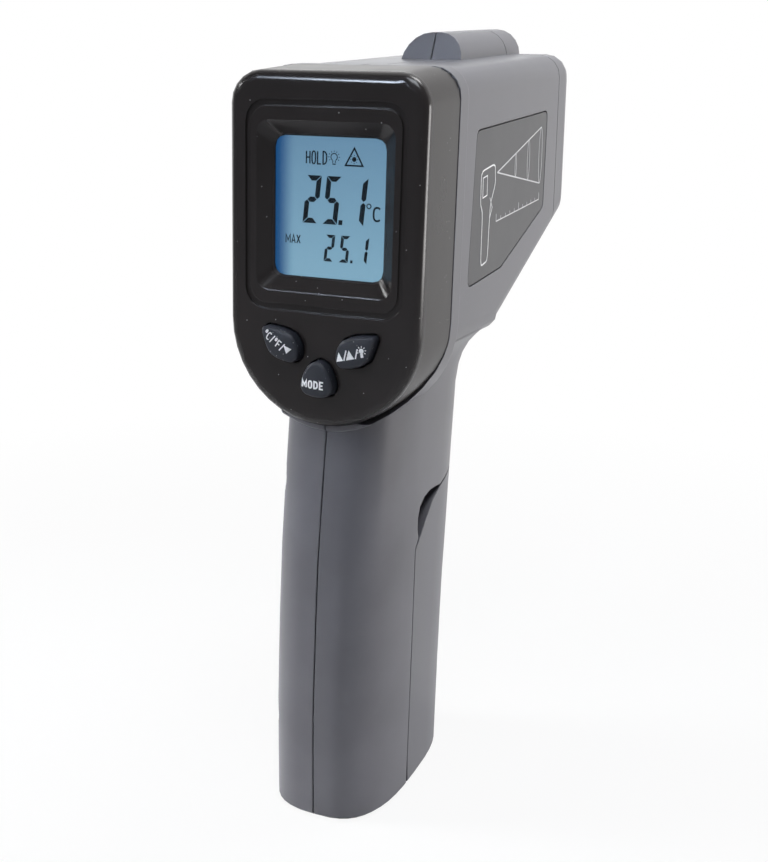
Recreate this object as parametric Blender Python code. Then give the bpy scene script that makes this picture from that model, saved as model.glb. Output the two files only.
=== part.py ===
"""Handheld infrared spot thermometer with a pistol grip, as separate pieces that fit together.

X runs to the user's right, Y from the display towards the lens and Z up the grip, which stands on its
flat end. All sizes are in millimetres. Y counts from the display face, and the last step centres the
object through one parent. Pieces of the head are made in the head's own frame, where Y is the lens axis
and Z counts from the top, and are then tilted into place.
"""

import math

import bmesh
import bpy
from mathutils import Matrix, Vector

MM = 0.001
FAR = 200.0
SAME_POINT = 0.0002

# Walls, clearances and screws
WALL = 2.0
FIT_GAP = 0.3
SCREW_RADIUS = 1.2
SCREW_HEAD = 2.5
BOARD_SCREW_RADIUS = 0.9
BOARD_SCREW_HEAD = 1.7
BOARD_BOSS = 1.8
BOARD_THICKNESS = 1.6

# Battery, its cradle and the door's hinge
BATTERY_WIDTH = 17.5
BATTERY_DEPTH = 26.5
BATTERY_HEIGHT = 46.4
TERMINAL_SPACING = 12.7
CRADLE_Y = 11.0
CRADLE_WALL = 1.5
SNAP_HEIGHT = 3.6
HINGE_HEIGHT = 5.0
KNUCKLE_RADIUS = 2.9
KNUCKLE_WIDTH = 11.0
DOOR_PIN_RADIUS = 1.0
DOOR_PIN_LENGTH = 15.2

# Grip
GRIP_SIDE = 2.95
GRIP_FRONT = 10.7
GRIP_ROUNDNESS = 3.0
NECK_HEIGHT = 29.7
DOOR_START = 8.2

# Trigger
TRIGGER_WIDTH = 12.0
TRIGGER_PIN_RADIUS = 1.2
PIN_HOLD = 2.7
TRIGGER_ROOM = 0.4
SWITCH_DEPTH = 4.1
SPRING_RADIUS = 2.1
SPRING_WIRE = 0.35

# Display bezel and keys
BEZEL_WIDTH = 40.0
BEZEL_DEPTH = 15.6
BEZEL_DRAFT = 0.4
BEZEL_CORNER = 6.0
BEZEL_WALL = 1.8
FACE_PLATE = 3.6
FACE_ROUND = 1.8
RIM_PROUD = 0.1
RIM_DROP = 1.4
RIM_REACH = 13.5
RIM_ROUND = 0.6
WINDOW_WIDTH = 22.4
WINDOW_HEIGHT = 25.9
WINDOW_DROP = 11.6
WINDOW_SLOPE = 3.2
WINDOW_THICKNESS = 0.7
RING_MARGIN = 5.2
RING_WIDTH = 1.1
LCD_MARGIN = 1.5
LCD_THICKNESS = 2.0
FRAME_WALL = 1.3
DISPLAY_STACK = 5.9
BOARD_MARGIN = 1.0
MAT_MARGIN = 1.7
MAT_RISE = 1.2
KEY_TRAVEL = 0.9
KEY_PROUD = 2.4

# Head
HEAD_TILT = 4.8
HEAD_LENGTH = 98.8
HEAD_EDGE = 5.0
FLOOR_RISE = 13.5
NOSE_LENGTH = 11.8
NOSE_WALL = 3.6
HUMP_WIDTH = 14.0
HUMP_HEIGHT = 5.6
HUMP_START = 51.6
HUMP_LEAN = 5.4
LABEL_START = 26.3
LABEL_MARGIN = 9.5
LABEL_DROP = 12.2
LABEL_HEIGHT = 30.3

# Optics
BARREL_RADIUS = 12.0
BARREL_WALL = 1.8
BARREL_LENGTH = 30.8
NOSE_ROOM = 3.6
LASER_RADIUS = 3.0
LASER_LENGTH = 21.8

# Places worked out from the sizes above
GRIP_WIDTH = BATTERY_WIDTH + 2 * (GRIP_SIDE + WALL)
GRIP_DEPTH = CRADLE_Y + CRADLE_WALL + FIT_GAP + BATTERY_DEPTH + GRIP_FRONT
HINGE_Y = GRIP_DEPTH - 1.0 - HINGE_HEIGHT
FOOT_TOP = HINGE_HEIGHT + KNUCKLE_RADIUS
CRADLE_Z = FOOT_TOP + FIT_GAP
BATTERY_Y = CRADLE_Y + CRADLE_WALL + FIT_GAP
BATTERY_MIDDLE = BATTERY_Y + BATTERY_DEPTH / 2
BATTERY_Z = CRADLE_Z + CRADLE_WALL + FIT_GAP
BATTERY_TOP = BATTERY_Z + BATTERY_HEIGHT
DOOR_Y = CRADLE_Y + DOOR_START
GRIP_HEIGHT = BATTERY_TOP + NECK_HEIGHT
HEAD_FLOOR = GRIP_HEIGHT + FLOOR_RISE
PIVOT_Y = GRIP_DEPTH - 6.5
PIVOT_Z = HEAD_FLOOR - 3.6
SWITCH_FACE = PIVOT_Y - 8.9
SWITCH_Z = PIVOT_Z - 8.8
BEZEL_HALF = BEZEL_WIDTH / 2
BEZEL_INNER = BEZEL_HALF - BEZEL_WALL
BEZEL_REAR = BEZEL_HALF + BEZEL_DRAFT
CHIN_CENTRE = GRIP_HEIGHT + BEZEL_HALF
WINDOW_HALF = WINDOW_WIDTH / 2
MAT_TOP = CHIN_CENTRE + MAT_RISE
LOW_SCREW_Z = MAT_TOP + 0.4 + BOARD_BOSS
FRAME_MARGIN = LCD_MARGIN + FIT_GAP + FRAME_WALL + 0.6
WINDOW_LOW = LOW_SCREW_Z + BOARD_BOSS + FRAME_MARGIN
WINDOW_HIGH = WINDOW_LOW + WINDOW_HEIGHT
HIGH_SCREW_Z = WINDOW_HIGH + FRAME_MARGIN + BOARD_BOSS
BEZEL_TOP = WINDOW_HIGH + WINDOW_DROP
SEAM_Y = BEZEL_DEPTH + FIT_GAP
RIM_FRONT = SEAM_Y - RIM_REACH
BOARD_Y = FACE_PLATE + DISPLAY_STACK
BOARD_BACK = BOARD_Y + BOARD_THICKNESS
HEAD_HALF = BEZEL_HALF + FIT_GAP
NOSE_HEIGHT = 2 * (BARREL_RADIUS + NOSE_WALL + NOSE_ROOM)
NOSE_SEAM = HEAD_LENGTH - NOSE_LENGTH
LENS_AXIS = -NOSE_HEIGHT / 2 - 0.3
LENS_RADIUS = BARREL_RADIUS - BARREL_WALL - FIT_GAP
BARREL_FRONT = HEAD_LENGTH - NOSE_WALL - 0.4
BARREL_REAR = BARREL_FRONT - BARREL_LENGTH
HUMP_WALL = WALL - 0.2
LASER_AXIS = HUMP_HEIGHT - HUMP_WALL - LASER_RADIUS - 0.5
LASER_FRONT = HEAD_LENGTH - 4.0
LASER_REAR = LASER_FRONT - LASER_LENGTH

# The grip's side lines: share of the grip's height, then the distance from the plain outline
REAR_LINE = [(0, -0.2), (0.05, -0.45), (0.27, -1.0), (0.48, -0.65), (0.68, 0.2), (0.82, 1.5), (0.98, 3.1),
             (1.4, 3.6)]
FRONT_LINE = [(0, -1.0), (0.23, -0.9), (0.49, -0.4), (0.64, 0.8), (0.74, 1.2), (0.88, 2.0), (1.05, 3.2)]
FLARE_LINE = [(-11.6, 0), (-7.6, 0.4), (-4.6, 1.2), (-2.1, 2.4), (-0.1, 4.0), (1.4, 5.4)]
GRIP_LEVELS = [0.14, 0.27, 0.4, 0.51, 0.6, 0.68, 0.74, 0.81, 0.9, 0.98]

# Key outlines, counted from the centre of the chin
KEY_OUTLINE = [(4.0, -6.5), (5.2, -7.5), (8.6, -6.9), (10.5, -5.6), (11.9, -1.5), (11.4, -0.6), (7.0, -1.2),
               (5.0, -2.1), (3.9, -4.2)]
MODE_OUTLINE = [(0, -13.7), (2.6, -13.2), (3.5, -11.7), (3.0, -9.5), (1.8, -7.3), (0, -6.4), (-1.8, -7.3),
                (-3.0, -9.5), (-3.5, -11.7), (-2.6, -13.2)]


# Clearing the scene and making the collection
for old in list(bpy.data.objects):
    bpy.data.objects.remove(old, do_unlink=True)
parts = bpy.data.collections.new("infrared_thermometer")
bpy.context.scene.collection.children.link(parts)


# Outlines in a plane, as lists of points that run anticlockwise
def arc(cx, cy, rx, ry, start, end, steps):
    points = []
    for i in range(steps + 1):
        a = math.radians(start + (end - start) * i / steps)
        points.append((cx + rx * math.cos(a), cy + ry * math.sin(a)))
    return points


def box_outline(x0, y0, x1, y1, radius=0.0, steps=3):
    if radius <= 0:
        return [(x0, y0), (x1, y0), (x1, y1), (x0, y1)]
    points = arc(x0 + radius, y0 + radius, radius, radius, 180, 270, steps)
    points += arc(x1 - radius, y0 + radius, radius, radius, 270, 360, steps)
    points += arc(x1 - radius, y1 - radius, radius, radius, 0, 90, steps)
    points += arc(x0 + radius, y1 - radius, radius, radius, 90, 180, steps)
    return points


def shield(half, drop, top, corner, steps=20):
    """A box with rounded upper corners over a half ellipse about the centre of the chin."""
    points = arc(0, CHIN_CENTRE, half, drop, 180, 360, steps)
    points += arc(half - corner, top - corner, corner, corner, 0, 90, 5)
    points += arc(corner - half, top - corner, corner, corner, 90, 180, 5)
    return points


def window_outline(margin, radius, steps=3, tall=0.0):
    """The display window's box, grown by a margin, and by more at its upper and lower ends."""
    reach = margin + tall
    return box_outline(-WINDOW_HALF - margin, WINDOW_LOW - reach, WINDOW_HALF + margin, WINDOW_HIGH + reach,
                       radius, steps)


def rounded(points, radius, steps=3):
    """The same outline with each corner turned into an arc of about this radius."""
    result = []
    for i, p in enumerate(points):
        before = Vector(points[i - 1])
        here = Vector(p)
        after = Vector(points[(i + 1) % len(points)])
        a = (before - here).normalized()
        b = (after - here).normalized()
        half = a.angle(b) / 2
        reach = min(radius / math.tan(half), 0.45 * (before - here).length, 0.45 * (after - here).length)
        for j in range(steps + 1):
            t = j / steps
            q = here + a * reach * (1 - t) ** 2 + b * reach * t ** 2
            result.append((q.x, q.y))
    return result


def widened(points, distance):
    """A convex outline moved outwards by this distance."""
    result = []
    for i, p in enumerate(points):
        a = Vector(p) - Vector(points[i - 1])
        b = Vector(points[(i + 1) % len(points)]) - Vector(p)
        n1 = Vector((a.y, -a.x)).normalized()
        n2 = Vector((b.y, -b.x)).normalized()
        mid = (n1 + n2).normalized()
        q = Vector(p) + mid * distance / max(mid.dot(n1), 0.5)
        result.append((q.x, q.y))
    return result


def corner_arc(points, index, radius, steps=4):
    """The arc that takes the place of one corner of an outline."""
    a = Vector(points[index - 1])
    here = Vector(points[index])
    b = Vector(points[(index + 1) % len(points)])
    u = (a - here).normalized()
    v = (b - here).normalized()
    half = u.angle(v) / 2
    reach = radius / math.tan(half)
    middle = here + (u + v).normalized() * radius / math.sin(half)
    start = (here + u * reach) - middle
    end = (here + v * reach) - middle
    turn = start.angle_signed(end)
    result = []
    for i in range(steps + 1):
        c = math.cos(turn * i / steps)
        s = math.sin(turn * i / steps)
        result.append((middle.x + start.x * c + start.y * s, middle.y - start.x * s + start.y * c))
    return result


def mirrored(points):
    return [(-x, y) for x, y in reversed(points)]


def middle_of(points):
    return sum(p[0] for p in points) / len(points), sum(p[1] for p in points) / len(points)


# Solids
def to_object(name, bm):
    bmesh.ops.recalc_face_normals(bm, faces=bm.faces)
    mesh = bpy.data.meshes.new(name)
    bm.to_mesh(mesh)
    bm.free()
    obj = bpy.data.objects.new(name, mesh)
    parts.objects.link(obj)
    return obj


def placed(axis, point, height):
    u, v = point
    if axis == "X":
        return Vector((height, u, v)) * MM
    if axis == "Y":
        return Vector((u, height, v)) * MM
    return Vector((u, v, height)) * MM


def prism(name, outline, axis, low, high, round_low=0.0, round_high=0.0, steps=3, taper=None):
    """An outline extruded along an axis. Ends can be rounded, and the far end scaled about its middle."""
    bm = bmesh.new()
    face = bm.faces.new([bm.verts.new(placed(axis, p, low)) for p in outline])
    grown = bmesh.ops.extrude_face_region(bm, geom=[face])["geom"]
    tops = [v for v in grown if isinstance(v, bmesh.types.BMVert)]
    bmesh.ops.translate(bm, verts=tops, vec=placed(axis, (0, 0), high - low))
    if taper:
        mid = (min(p[0] for p in outline) + max(p[0] for p in outline)) / 2
        level = (min(p[1] for p in outline) + max(p[1] for p in outline)) / 2
        centre = placed(axis, (mid, level), high)
        scale = placed(axis, taper, 1.0) / MM
        for v in tops:
            v.co = centre + (v.co - centre) * scale
    bm.normal_update()
    index = "XYZ".index(axis)
    for radius, at in ((round_low, low), (round_high, high)):
        if radius > 0:
            edges = [e for e in bm.edges if all(abs(v.co[index] - at * MM) < 1e-7 for v in e.verts)]
            bmesh.ops.bevel(bm, geom=edges, offset=radius * MM, segments=steps, profile=0.5, affect="EDGES")
    return to_object(name, bm)


def block(name, low, high):
    return prism(name, box_outline(low[0], low[1], high[0], high[1]), "Z", low[2], high[2])


def turned(name, profile, axis, centre, sides=24):
    """A solid of revolution. Profile points are (distance along the axis, radius)."""
    bm = bmesh.new()
    line = [bm.verts.new(Vector((r, 0, t)) * MM) for t, r in profile]
    for a, b in zip(line, line[1:]):
        bm.edges.new((a, b))
    bmesh.ops.spin(bm, geom=bm.verts[:] + bm.edges[:], cent=(0, 0, 0), axis=(0, 0, 1), angle=2 * math.pi,
                   steps=sides, use_merge=True, use_duplicate=False)
    bmesh.ops.remove_doubles(bm, verts=bm.verts, dist=1e-7)
    bmesh.ops.holes_fill(bm, edges=[e for e in bm.edges if e.is_boundary], sides=0)
    turns = {
        "X": Matrix.Rotation(math.pi / 2, 4, "Y"),
        "Y": Matrix.Rotation(-math.pi / 2, 4, "X"),
        "Z": Matrix.Identity(4),
    }
    bmesh.ops.transform(bm, matrix=Matrix.Translation(Vector(centre) * MM) @ turns[axis], verts=bm.verts)
    return to_object(name, bm)


def rod(name, radius, axis, centre, low, high, sides=24):
    return turned(name, [(low, radius), (high, radius)], axis, centre, sides)


def side_rod(name, radius, side, y, z, near, far, sides=16):
    """A rod along X on one side of the middle plane."""
    low, high = sorted((side * near, side * far))
    return rod(name, radius, "X", (0, y, z), low, high, sides)


def loft(name, rings):
    """A solid through rings of points, for shapes whose sections change along their length."""
    bm = bmesh.new()
    loops = [[bm.verts.new(Vector(p) * MM) for p in ring] for ring in rings]
    count = len(loops[0])
    for lower, upper in zip(loops, loops[1:]):
        for i in range(count):
            j = (i + 1) % count
            bm.faces.new((lower[i], lower[j], upper[j], upper[i]))
    bm.faces.new(list(reversed(loops[0])))
    bm.faces.new(loops[-1])
    return to_object(name, bm)


def wire(name, radius, points):
    """A round wire through points, made as a bevelled curve and turned into a mesh."""
    data = bpy.data.curves.new(name, "CURVE")
    data.dimensions = "3D"
    data.bevel_depth = radius * MM
    data.bevel_resolution = 1
    data.use_fill_caps = True
    spline = data.splines.new("POLY")
    spline.points.add(len(points) - 1)
    for slot, p in zip(spline.points, points):
        slot.co = (*(Vector(p) * MM), 1)
    source = bpy.data.objects.new(name + "_path", data)
    parts.objects.link(source)
    bpy.context.view_layer.update()
    graph = bpy.context.evaluated_depsgraph_get()
    mesh = bpy.data.meshes.new_from_object(source.evaluated_get(graph))
    bpy.data.objects.remove(source, do_unlink=True)
    bm = bmesh.new()
    bm.from_mesh(mesh)
    bpy.data.meshes.remove(mesh)
    bmesh.ops.remove_doubles(bm, verts=bm.verts, dist=1e-7)
    return to_object(name, bm)


# Joining and cutting
def copy_of(obj, name):
    other = bpy.data.objects.new(name, obj.data.copy())
    parts.objects.link(other)
    return other


def combine(target, tool, operation, keep=False):
    step = target.modifiers.new(operation, "BOOLEAN")
    step.operation = operation
    step.solver = "EXACT"
    step.object = tool
    bpy.context.view_layer.update()
    graph = bpy.context.evaluated_depsgraph_get()
    mesh = bpy.data.meshes.new_from_object(target.evaluated_get(graph))
    bm = bmesh.new()
    bm.from_mesh(mesh)
    bmesh.ops.dissolve_degenerate(bm, edges=bm.edges, dist=SAME_POINT * MM)
    bm.to_mesh(mesh)
    bm.free()
    target.modifiers.clear()
    used = target.data
    target.data = mesh
    bpy.data.meshes.remove(used)
    if not keep:
        bpy.data.objects.remove(tool, do_unlink=True)
    return target


def cut(target, tool, keep=False):
    return combine(target, tool, "DIFFERENCE", keep)


def join(target, tool, keep=False):
    return combine(target, tool, "UNION", keep)


def common(target, tool, keep=False):
    return combine(target, tool, "INTERSECT", keep)


# The head's own frame
def tilted(obj):
    """Moves a piece from the head's own frame to its place."""
    turn = Matrix.Rotation(math.radians(HEAD_TILT), 4, "X")
    obj.data.transform(Matrix.Translation((0, 0, BEZEL_TOP * MM)) @ turn)
    return obj


def in_head(x, y, z):
    """A point of the head's own frame as a place in the whole object."""
    a = math.radians(HEAD_TILT)
    return x, y * math.cos(a) - z * math.sin(a), BEZEL_TOP + y * math.sin(a) + z * math.cos(a)


def to_head(y, z):
    """A place in the whole object as (Y, Z) of the head's own frame."""
    a = math.radians(HEAD_TILT)
    drop = z - BEZEL_TOP
    return y * math.cos(a) + drop * math.sin(a), drop * math.cos(a) - y * math.sin(a)


def risen(obj):
    """Lifts the top of a piece so that it follows the slope of the head's top."""
    slope = math.tan(math.radians(HEAD_TILT))
    for v in obj.data.vertices:
        share = min(max((v.co.z / MM - CHIN_CENTRE - 15) / 20, 0.0), 1.0)
        v.co.z += v.co.y * slope * share
    return obj


# The head and the hump: their outer shapes, or their cavities when inset
def head_solid(name, inset, front):
    half = HEAD_HALF - inset
    edge = max(HEAD_EDGE - inset, 0.8)
    foot_y, foot_z = to_head(GRIP_DEPTH + 0.3, HEAD_FLOOR + 1.5)
    foot = (foot_y - inset * 0.2, foot_z + inset * 1.1)
    end = HEAD_LENGTH - inset
    profile = [(-FAR, foot_z - 25), (foot_y - 8, foot_z - 25), foot, (end, inset - NOSE_HEIGHT), (end, -inset),
               (-FAR, -inset)]
    profile = profile[:3] + corner_arc(profile, 3, edge + 1) + corner_arc(profile, 4, edge + 1) + profile[5:]
    obj = tilted(prism(name, profile, "X", -half, half, edge, edge, 4))
    if front < HEAD_LENGTH:
        cut(obj, tilted(block("trim", (-FAR, front, -2 * FAR), (FAR, 2 * FAR, FAR))))
    floor = box_outline(-half, HEAD_FLOOR + inset, half, BEZEL_TOP + FAR, edge)
    return common(obj, prism("floor", floor, "Y", -2 * FAR, 2 * FAR))


def hump_solid(name, inset, front):
    half = HUMP_WIDTH / 2 - inset
    top = HUMP_HEIGHT - inset
    rear = HUMP_START + inset
    profile = [(rear - 0.4, -4), (front, -4), (front, top), (rear + HUMP_LEAN, top)]
    obj = prism(name, profile, "X", -half, half)
    bm = bmesh.new()
    bm.from_mesh(obj.data)
    ridges = []
    for e in bm.edges:
        a, b = e.verts
        if min(a.co.z, b.co.z) > (top - 0.01) * MM and abs(a.co.x - b.co.x) < 1e-7:
            ridges.append(e)
    reach = min(half, top + 1.0) - 0.6
    bmesh.ops.bevel(bm, geom=ridges, offset=reach * MM, segments=5, profile=0.5, affect="EDGES")
    bm.to_mesh(obj.data)
    bm.free()
    return tilted(obj)


# The grip's outer shape, or its cavity when inset
def along(line, place):
    """The value at a place on a line of (place, value) points, level beyond its ends."""
    if place <= line[0][0]:
        return line[0][1]
    for (p0, v0), (p1, v1) in zip(line, line[1:]):
        if place <= p1:
            return v0 + (v1 - v0) * (place - p0) / (p1 - p0)
    return line[-1][1]


def grip_rear(z):
    return along(REAR_LINE, z / GRIP_HEIGHT)


def grip_ring(z, inset, count=44):
    flare = along(FLARE_LINE, z - HEAD_FLOOR)
    rear = grip_rear(z) + inset
    front = GRIP_DEPTH + along(FRONT_LINE, z / GRIP_HEIGHT) + flare - inset
    half = GRIP_WIDTH / 2 + flare - inset
    middle = (rear + front) / 2
    reach = (front - rear) / 2
    points = []
    for i in range(count):
        a = 2 * math.pi * i / count
        c = math.cos(a)
        s = math.sin(a)
        x = half * math.copysign(abs(c) ** (2 / GRIP_ROUNDNESS), c)
        y = middle + reach * math.copysign(abs(s) ** (2 / GRIP_ROUNDNESS), s)
        points.append((x, y, z))
    return points


def grip_solid(name, inset, low, high, foot=0.0):
    """The grip between two heights, with a small bevel round its lower end when foot is given."""
    between = [share * GRIP_HEIGHT for share in GRIP_LEVELS] + [HEAD_FLOOR + rise for rise, _ in FLARE_LINE]
    levels = [low + foot] + [z for z in between if low + foot + 2 < z < high - 2] + [high]
    rings = [grip_ring(z, inset) for z in levels]
    if foot > 0:
        rings.insert(0, grip_ring(low, inset + foot))
    return loft(name, rings)


# Where the case screws cross the seam: (Y, Z, distance of the head's seat from the middle plane)
def screw_places():
    places = []
    for z in (BATTERY_TOP + 15.6, FOOT_TOP + 12.1):
        places.append((grip_rear(z) + 6.9, z, GRIP_WIDTH / 2 - 6.5))
    places.append((SEAM_Y + 10.1, HEAD_FLOOR - 2.6, HEAD_HALF - 7.3))
    for y, drop in ((BARREL_REAR + 4.9, BARREL_RADIUS + 8.6 - LENS_AXIS), (HUMP_START - 11.9, 5.5)):
        _, y, z = in_head(0, y, -drop)
        places.append((y, z, HEAD_HALF - 5.0))
    return places


SCREW_PLACES = screw_places()

# Outer body of the two housing halves, and the nose cap cut from its front
outer = head_solid("outer", 0.0, HEAD_LENGTH + 5)
cut(outer, block("rear_trim", (-FAR, -FAR, -FAR), (FAR, SEAM_Y - 3, FAR)))
join(outer, hump_solid("hump", 0.0, HEAD_LENGTH - 1.0))
nose_cap = copy_of(outer, "nose_cap")
common(nose_cap, tilted(block("nose_keep", (-FAR, NOSE_SEAM + FIT_GAP / 2, -FAR), (FAR, FAR, FAR))))
cut(outer, tilted(block("nose_trim", (-FAR, NOSE_SEAM - FIT_GAP / 2, -FAR), (FAR, FAR, FAR))))
rim = shield(BEZEL_REAR + RIM_PROUD, BEZEL_HALF + RIM_DROP, BEZEL_TOP + BEZEL_DRAFT, HEAD_EDGE + 0.6)
join(outer, risen(prism("rim", rim, "Y", RIM_FRONT, SEAM_Y + 4.5, RIM_ROUND)))
join(outer, grip_solid("grip", 0.0, 0.0, HEAD_FLOOR + 7.4, 0.8))

# Saddle that the bezel's wall ends on, as a line in side view from under the chin up to the seam
saddle = [(-14.5, 0.7), (-8.9, 2.9), (-5.0, 6.1), (-1.5, 10.9), (0, 15.4)]
saddle = [(SEAM_Y + y, GRIP_HEIGHT + z) for y, z in saddle]
ahead = [(-FAR, FAR), (-FAR, saddle[0][1]), *saddle, (SEAM_Y, FAR)]
cut(outer, prism("ahead", ahead, "X", -FAR, FAR))
room = shield(BEZEL_INNER, BEZEL_INNER, BEZEL_TOP - BEZEL_WALL, BEZEL_CORNER - BEZEL_WALL)
cut(outer, risen(prism("bezel_room", room, "Y", -20, SEAM_Y - 0.1)))

# Cavity
shell = copy_of(outer, "shell")
head_room = head_solid("head_room", WALL, NOSE_SEAM + 4)
cut(shell, common(head_room, block("head_part", (-FAR, SEAM_Y - 2, -FAR), (FAR, FAR, FAR))))
cut(shell, hump_solid("hump_room", HUMP_WALL, NOSE_SEAM + 4))
grip_room = grip_solid("grip_room", WALL, 2.4, HEAD_FLOOR + 3.4)
cut(grip_room, block("roof", (-FAR, -FAR, GRIP_HEIGHT - 3.6), (FAR, SEAM_Y - 0.6, FAR)))
cut(shell, grip_room)

# Foot block and hinge knuckle inside the door
foot_front = HINGE_Y - KNUCKLE_RADIUS - 3.5
foot = block("foot", (-FAR, 1.0, 0.9), (FAR, foot_front - 1, FOOT_TOP))
join(shell, common(foot, grip_solid("foot_in", WALL + 0.5, -2, 40)))
cut(shell, block("foot_end", (-FAR, foot_front, -3), (FAR, FAR, FOOT_TOP + 4)))
knuckle = [(foot_front - 6, 0.6), (foot_front - 0.4, 0.6), (HINGE_Y - KNUCKLE_RADIUS - 2.7, 2.0)]
knuckle += arc(HINGE_Y, HINGE_HEIGHT, KNUCKLE_RADIUS, KNUCKLE_RADIUS, 210, 450, 16)
knuckle += [(foot_front - 6, FOOT_TOP - 0.6)]
join(shell, prism("knuckle", knuckle, "X", -KNUCKLE_WIDTH / 2, KNUCKLE_WIDTH / 2))

# Bosses and ribs inside, kept to the middle of the walls
core = head_solid("core", WALL / 2, NOSE_SEAM - 0.5)
cut(core, block("core_rear", (-FAR, -FAR, -FAR), (FAR, SEAM_Y + 1, FAR)))
join(core, hump_solid("core_hump", HUMP_WALL / 2, NOSE_SEAM - 0.8))
join(core, grip_solid("core_grip", WALL / 2, 1.1, HEAD_FLOOR + 4.4))


def add_inside(feature):
    join(shell, common(feature, core, keep=True))


for y, z, _ in SCREW_PLACES:
    add_inside(rod("boss", SCREW_HEAD + 1.7, "X", (0, y, z), -30, 30, 16))
rib_front = SWITCH_FACE - BOARD_THICKNESS - FIT_GAP
for side in (-1, 1):
    near = TRIGGER_WIDTH / 2 + TRIGGER_ROOM
    add_inside(side_rod("pivot", TRIGGER_PIN_RADIUS + 1.8, side, PIVOT_Y, PIVOT_Z, near, 30))
    low, high = sorted((side * 5.0, side * 40))
    add_inside(block("board_rib", (low, rib_front - 1.5, PIVOT_Z - 21), (high, rib_front, PIVOT_Z - 6)))
for z in (CRADLE_Z + 19.8, CRADLE_Z + 41.8):
    add_inside(block("cradle_rib", (-40, -20, z), (40, CRADLE_Y - FIT_GAP, z + 1.5)))
for y in (BARREL_REAR + 2.0, NOSE_SEAM - 5.5):
    low = LENS_AXIS - BARREL_RADIUS - 3.0
    add_inside(tilted(block("barrel_rib", (-40, y, low), (40, y + 1.5, LENS_AXIS + BARREL_RADIUS - 1.5))))
for y in (LASER_REAR + 2.0, NOSE_SEAM - 3.5):
    reach = HUMP_WIDTH / 2 - 1
    low = LASER_AXIS - LASER_RADIUS - 1.8
    add_inside(tilted(block("laser_rib", (-reach, y, low), (reach, y + 1.5, HUMP_HEIGHT + 3.4))))

# Openings for the barrel, laser, screws, pins and trigger
lens_centre = (0, 0, LENS_AXIS)
laser_centre = (0, 0, LASER_AXIS)
cut(shell, tilted(rod("barrel_bore", BARREL_RADIUS + FIT_GAP, "Y", lens_centre, BARREL_REAR - 14, FAR, 32)))
cut(shell, tilted(rod("laser_bore", LASER_RADIUS + FIT_GAP, "Y", laser_centre, LASER_REAR - 5, FAR, 20)))
for y, z, seat in SCREW_PLACES:
    cut(shell, rod("pilot", SCREW_RADIUS + FIT_GAP, "X", (0, y, z), -seat - 3, 9, 16))
pin_half = TRIGGER_WIDTH / 2 + PIN_HOLD
pin_reach = pin_half + FIT_GAP
pivot = (0, PIVOT_Y, PIVOT_Z)
hinge = (0, HINGE_Y, HINGE_HEIGHT)
cut(shell, rod("pin_room", TRIGGER_PIN_RADIUS + FIT_GAP, "X", pivot, -pin_reach, pin_reach, 16))
cut(shell, rod("door_pin_room", DOOR_PIN_RADIUS + FIT_GAP, "X", hinge, -40, 40, 16))
slot_half = TRIGGER_WIDTH / 2 + TRIGGER_ROOM
cut(shell, block("trigger_slot", (-slot_half, PIVOT_Y - 4, PIVOT_Z - 23.8), (slot_half, FAR, PIVOT_Z + 3.6)))

# Opening for the battery door, with a finger notch on each side and a screen behind it
door_room = [(-0.1, -3 - BATTERY_TOP), (-0.1, 0.2), (1.6, 2.1), (0.9, 4.4), (0.9, 6.8), (2.0, 9.2), (4.3, 10.7),
             (7.6, 11.3), (11.0, 11.1), (14.2, 10.7), (22, 12.1), (44, 14.8), (44, -3 - BATTERY_TOP)]
door_room = [(DOOR_Y + y, BATTERY_TOP + z) for y, z in door_room]
opening = prism("opening", door_room, "X", -40, 40)
foot_keep = grip_solid("foot_keep", WALL + 0.4, -6, HEAD_FLOOR + 20)
cut(opening, common(foot_keep, block("foot_low", (-40, -20, -8), (40, 90, FOOT_TOP + 0.2))))
cut(shell, opening)
screen_x = GRIP_WIDTH / 2 - 5.1
screen = [(screen_x, DOOR_Y - 5.2), (30, DOOR_Y - 5.2), (30, DOOR_Y - 3.8), (screen_x + 1.2, DOOR_Y - 3.8),
          (screen_x + 1.2, DOOR_Y + 14.8), (screen_x, DOOR_Y + 14.8)]
for outline in (screen, mirrored(screen)):
    add_inside(prism("notch_screen", outline, "Z", BATTERY_TOP + 5.4, BATTERY_TOP + 13.0))

# Battery door: a piece of the grip's wall with a rounded lower lip and two hinge lugs
door_edge = [(0.9, -3 - BATTERY_TOP), (0.8, 0.6 - BATTERY_TOP), (0.3, 7 - BATTERY_TOP), (0.3, -0.2), (2.6, 1.9),
             (5.8, 5.2), (9.6, 8.4), (14.3, 10.2), (22, 11.7), (44, 14.4), (44, -3 - BATTERY_TOP)]
door_edge = [(DOOR_Y + y, BATTERY_TOP + z) for y, z in door_edge]
battery_door = grip_solid("battery_door", 0.0, 0.0, HEAD_FLOOR, 0.8)
common(battery_door, prism("door_edge", door_edge, "X", -40, 40))
lip_radius = HINGE_HEIGHT - 0.1
rounding = [(HINGE_Y, -4), (HINGE_Y + 30, -4), (HINGE_Y + 30, HINGE_HEIGHT)]
rounding += arc(HINGE_Y, HINGE_HEIGHT, lip_radius, lip_radius, 0, -90, 10)
cut(battery_door, prism("rounding", rounding, "X", -40, 40))
door_in = grip_solid("door_in", WALL, -4, HEAD_FLOOR + 10)
cut(door_in, block("lip_keep", (-40, HINGE_Y, -10), (40, 90, HINGE_HEIGHT)))
cut(battery_door, door_in)
lug_near = KNUCKLE_WIDTH / 2 + 0.4
lug_bore = DOOR_PIN_LENGTH / 2 + FIT_GAP
cut(battery_door, rod("lip_room", KNUCKLE_RADIUS + 0.4, "X", hinge, -lug_near - 0.2, lug_near + 0.2, 32))
swing = [(HINGE_Y, HINGE_HEIGHT), (HINGE_Y - 9, HINGE_HEIGHT), (HINGE_Y - 9, -3), (HINGE_Y + 3.9, -3)]
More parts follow.
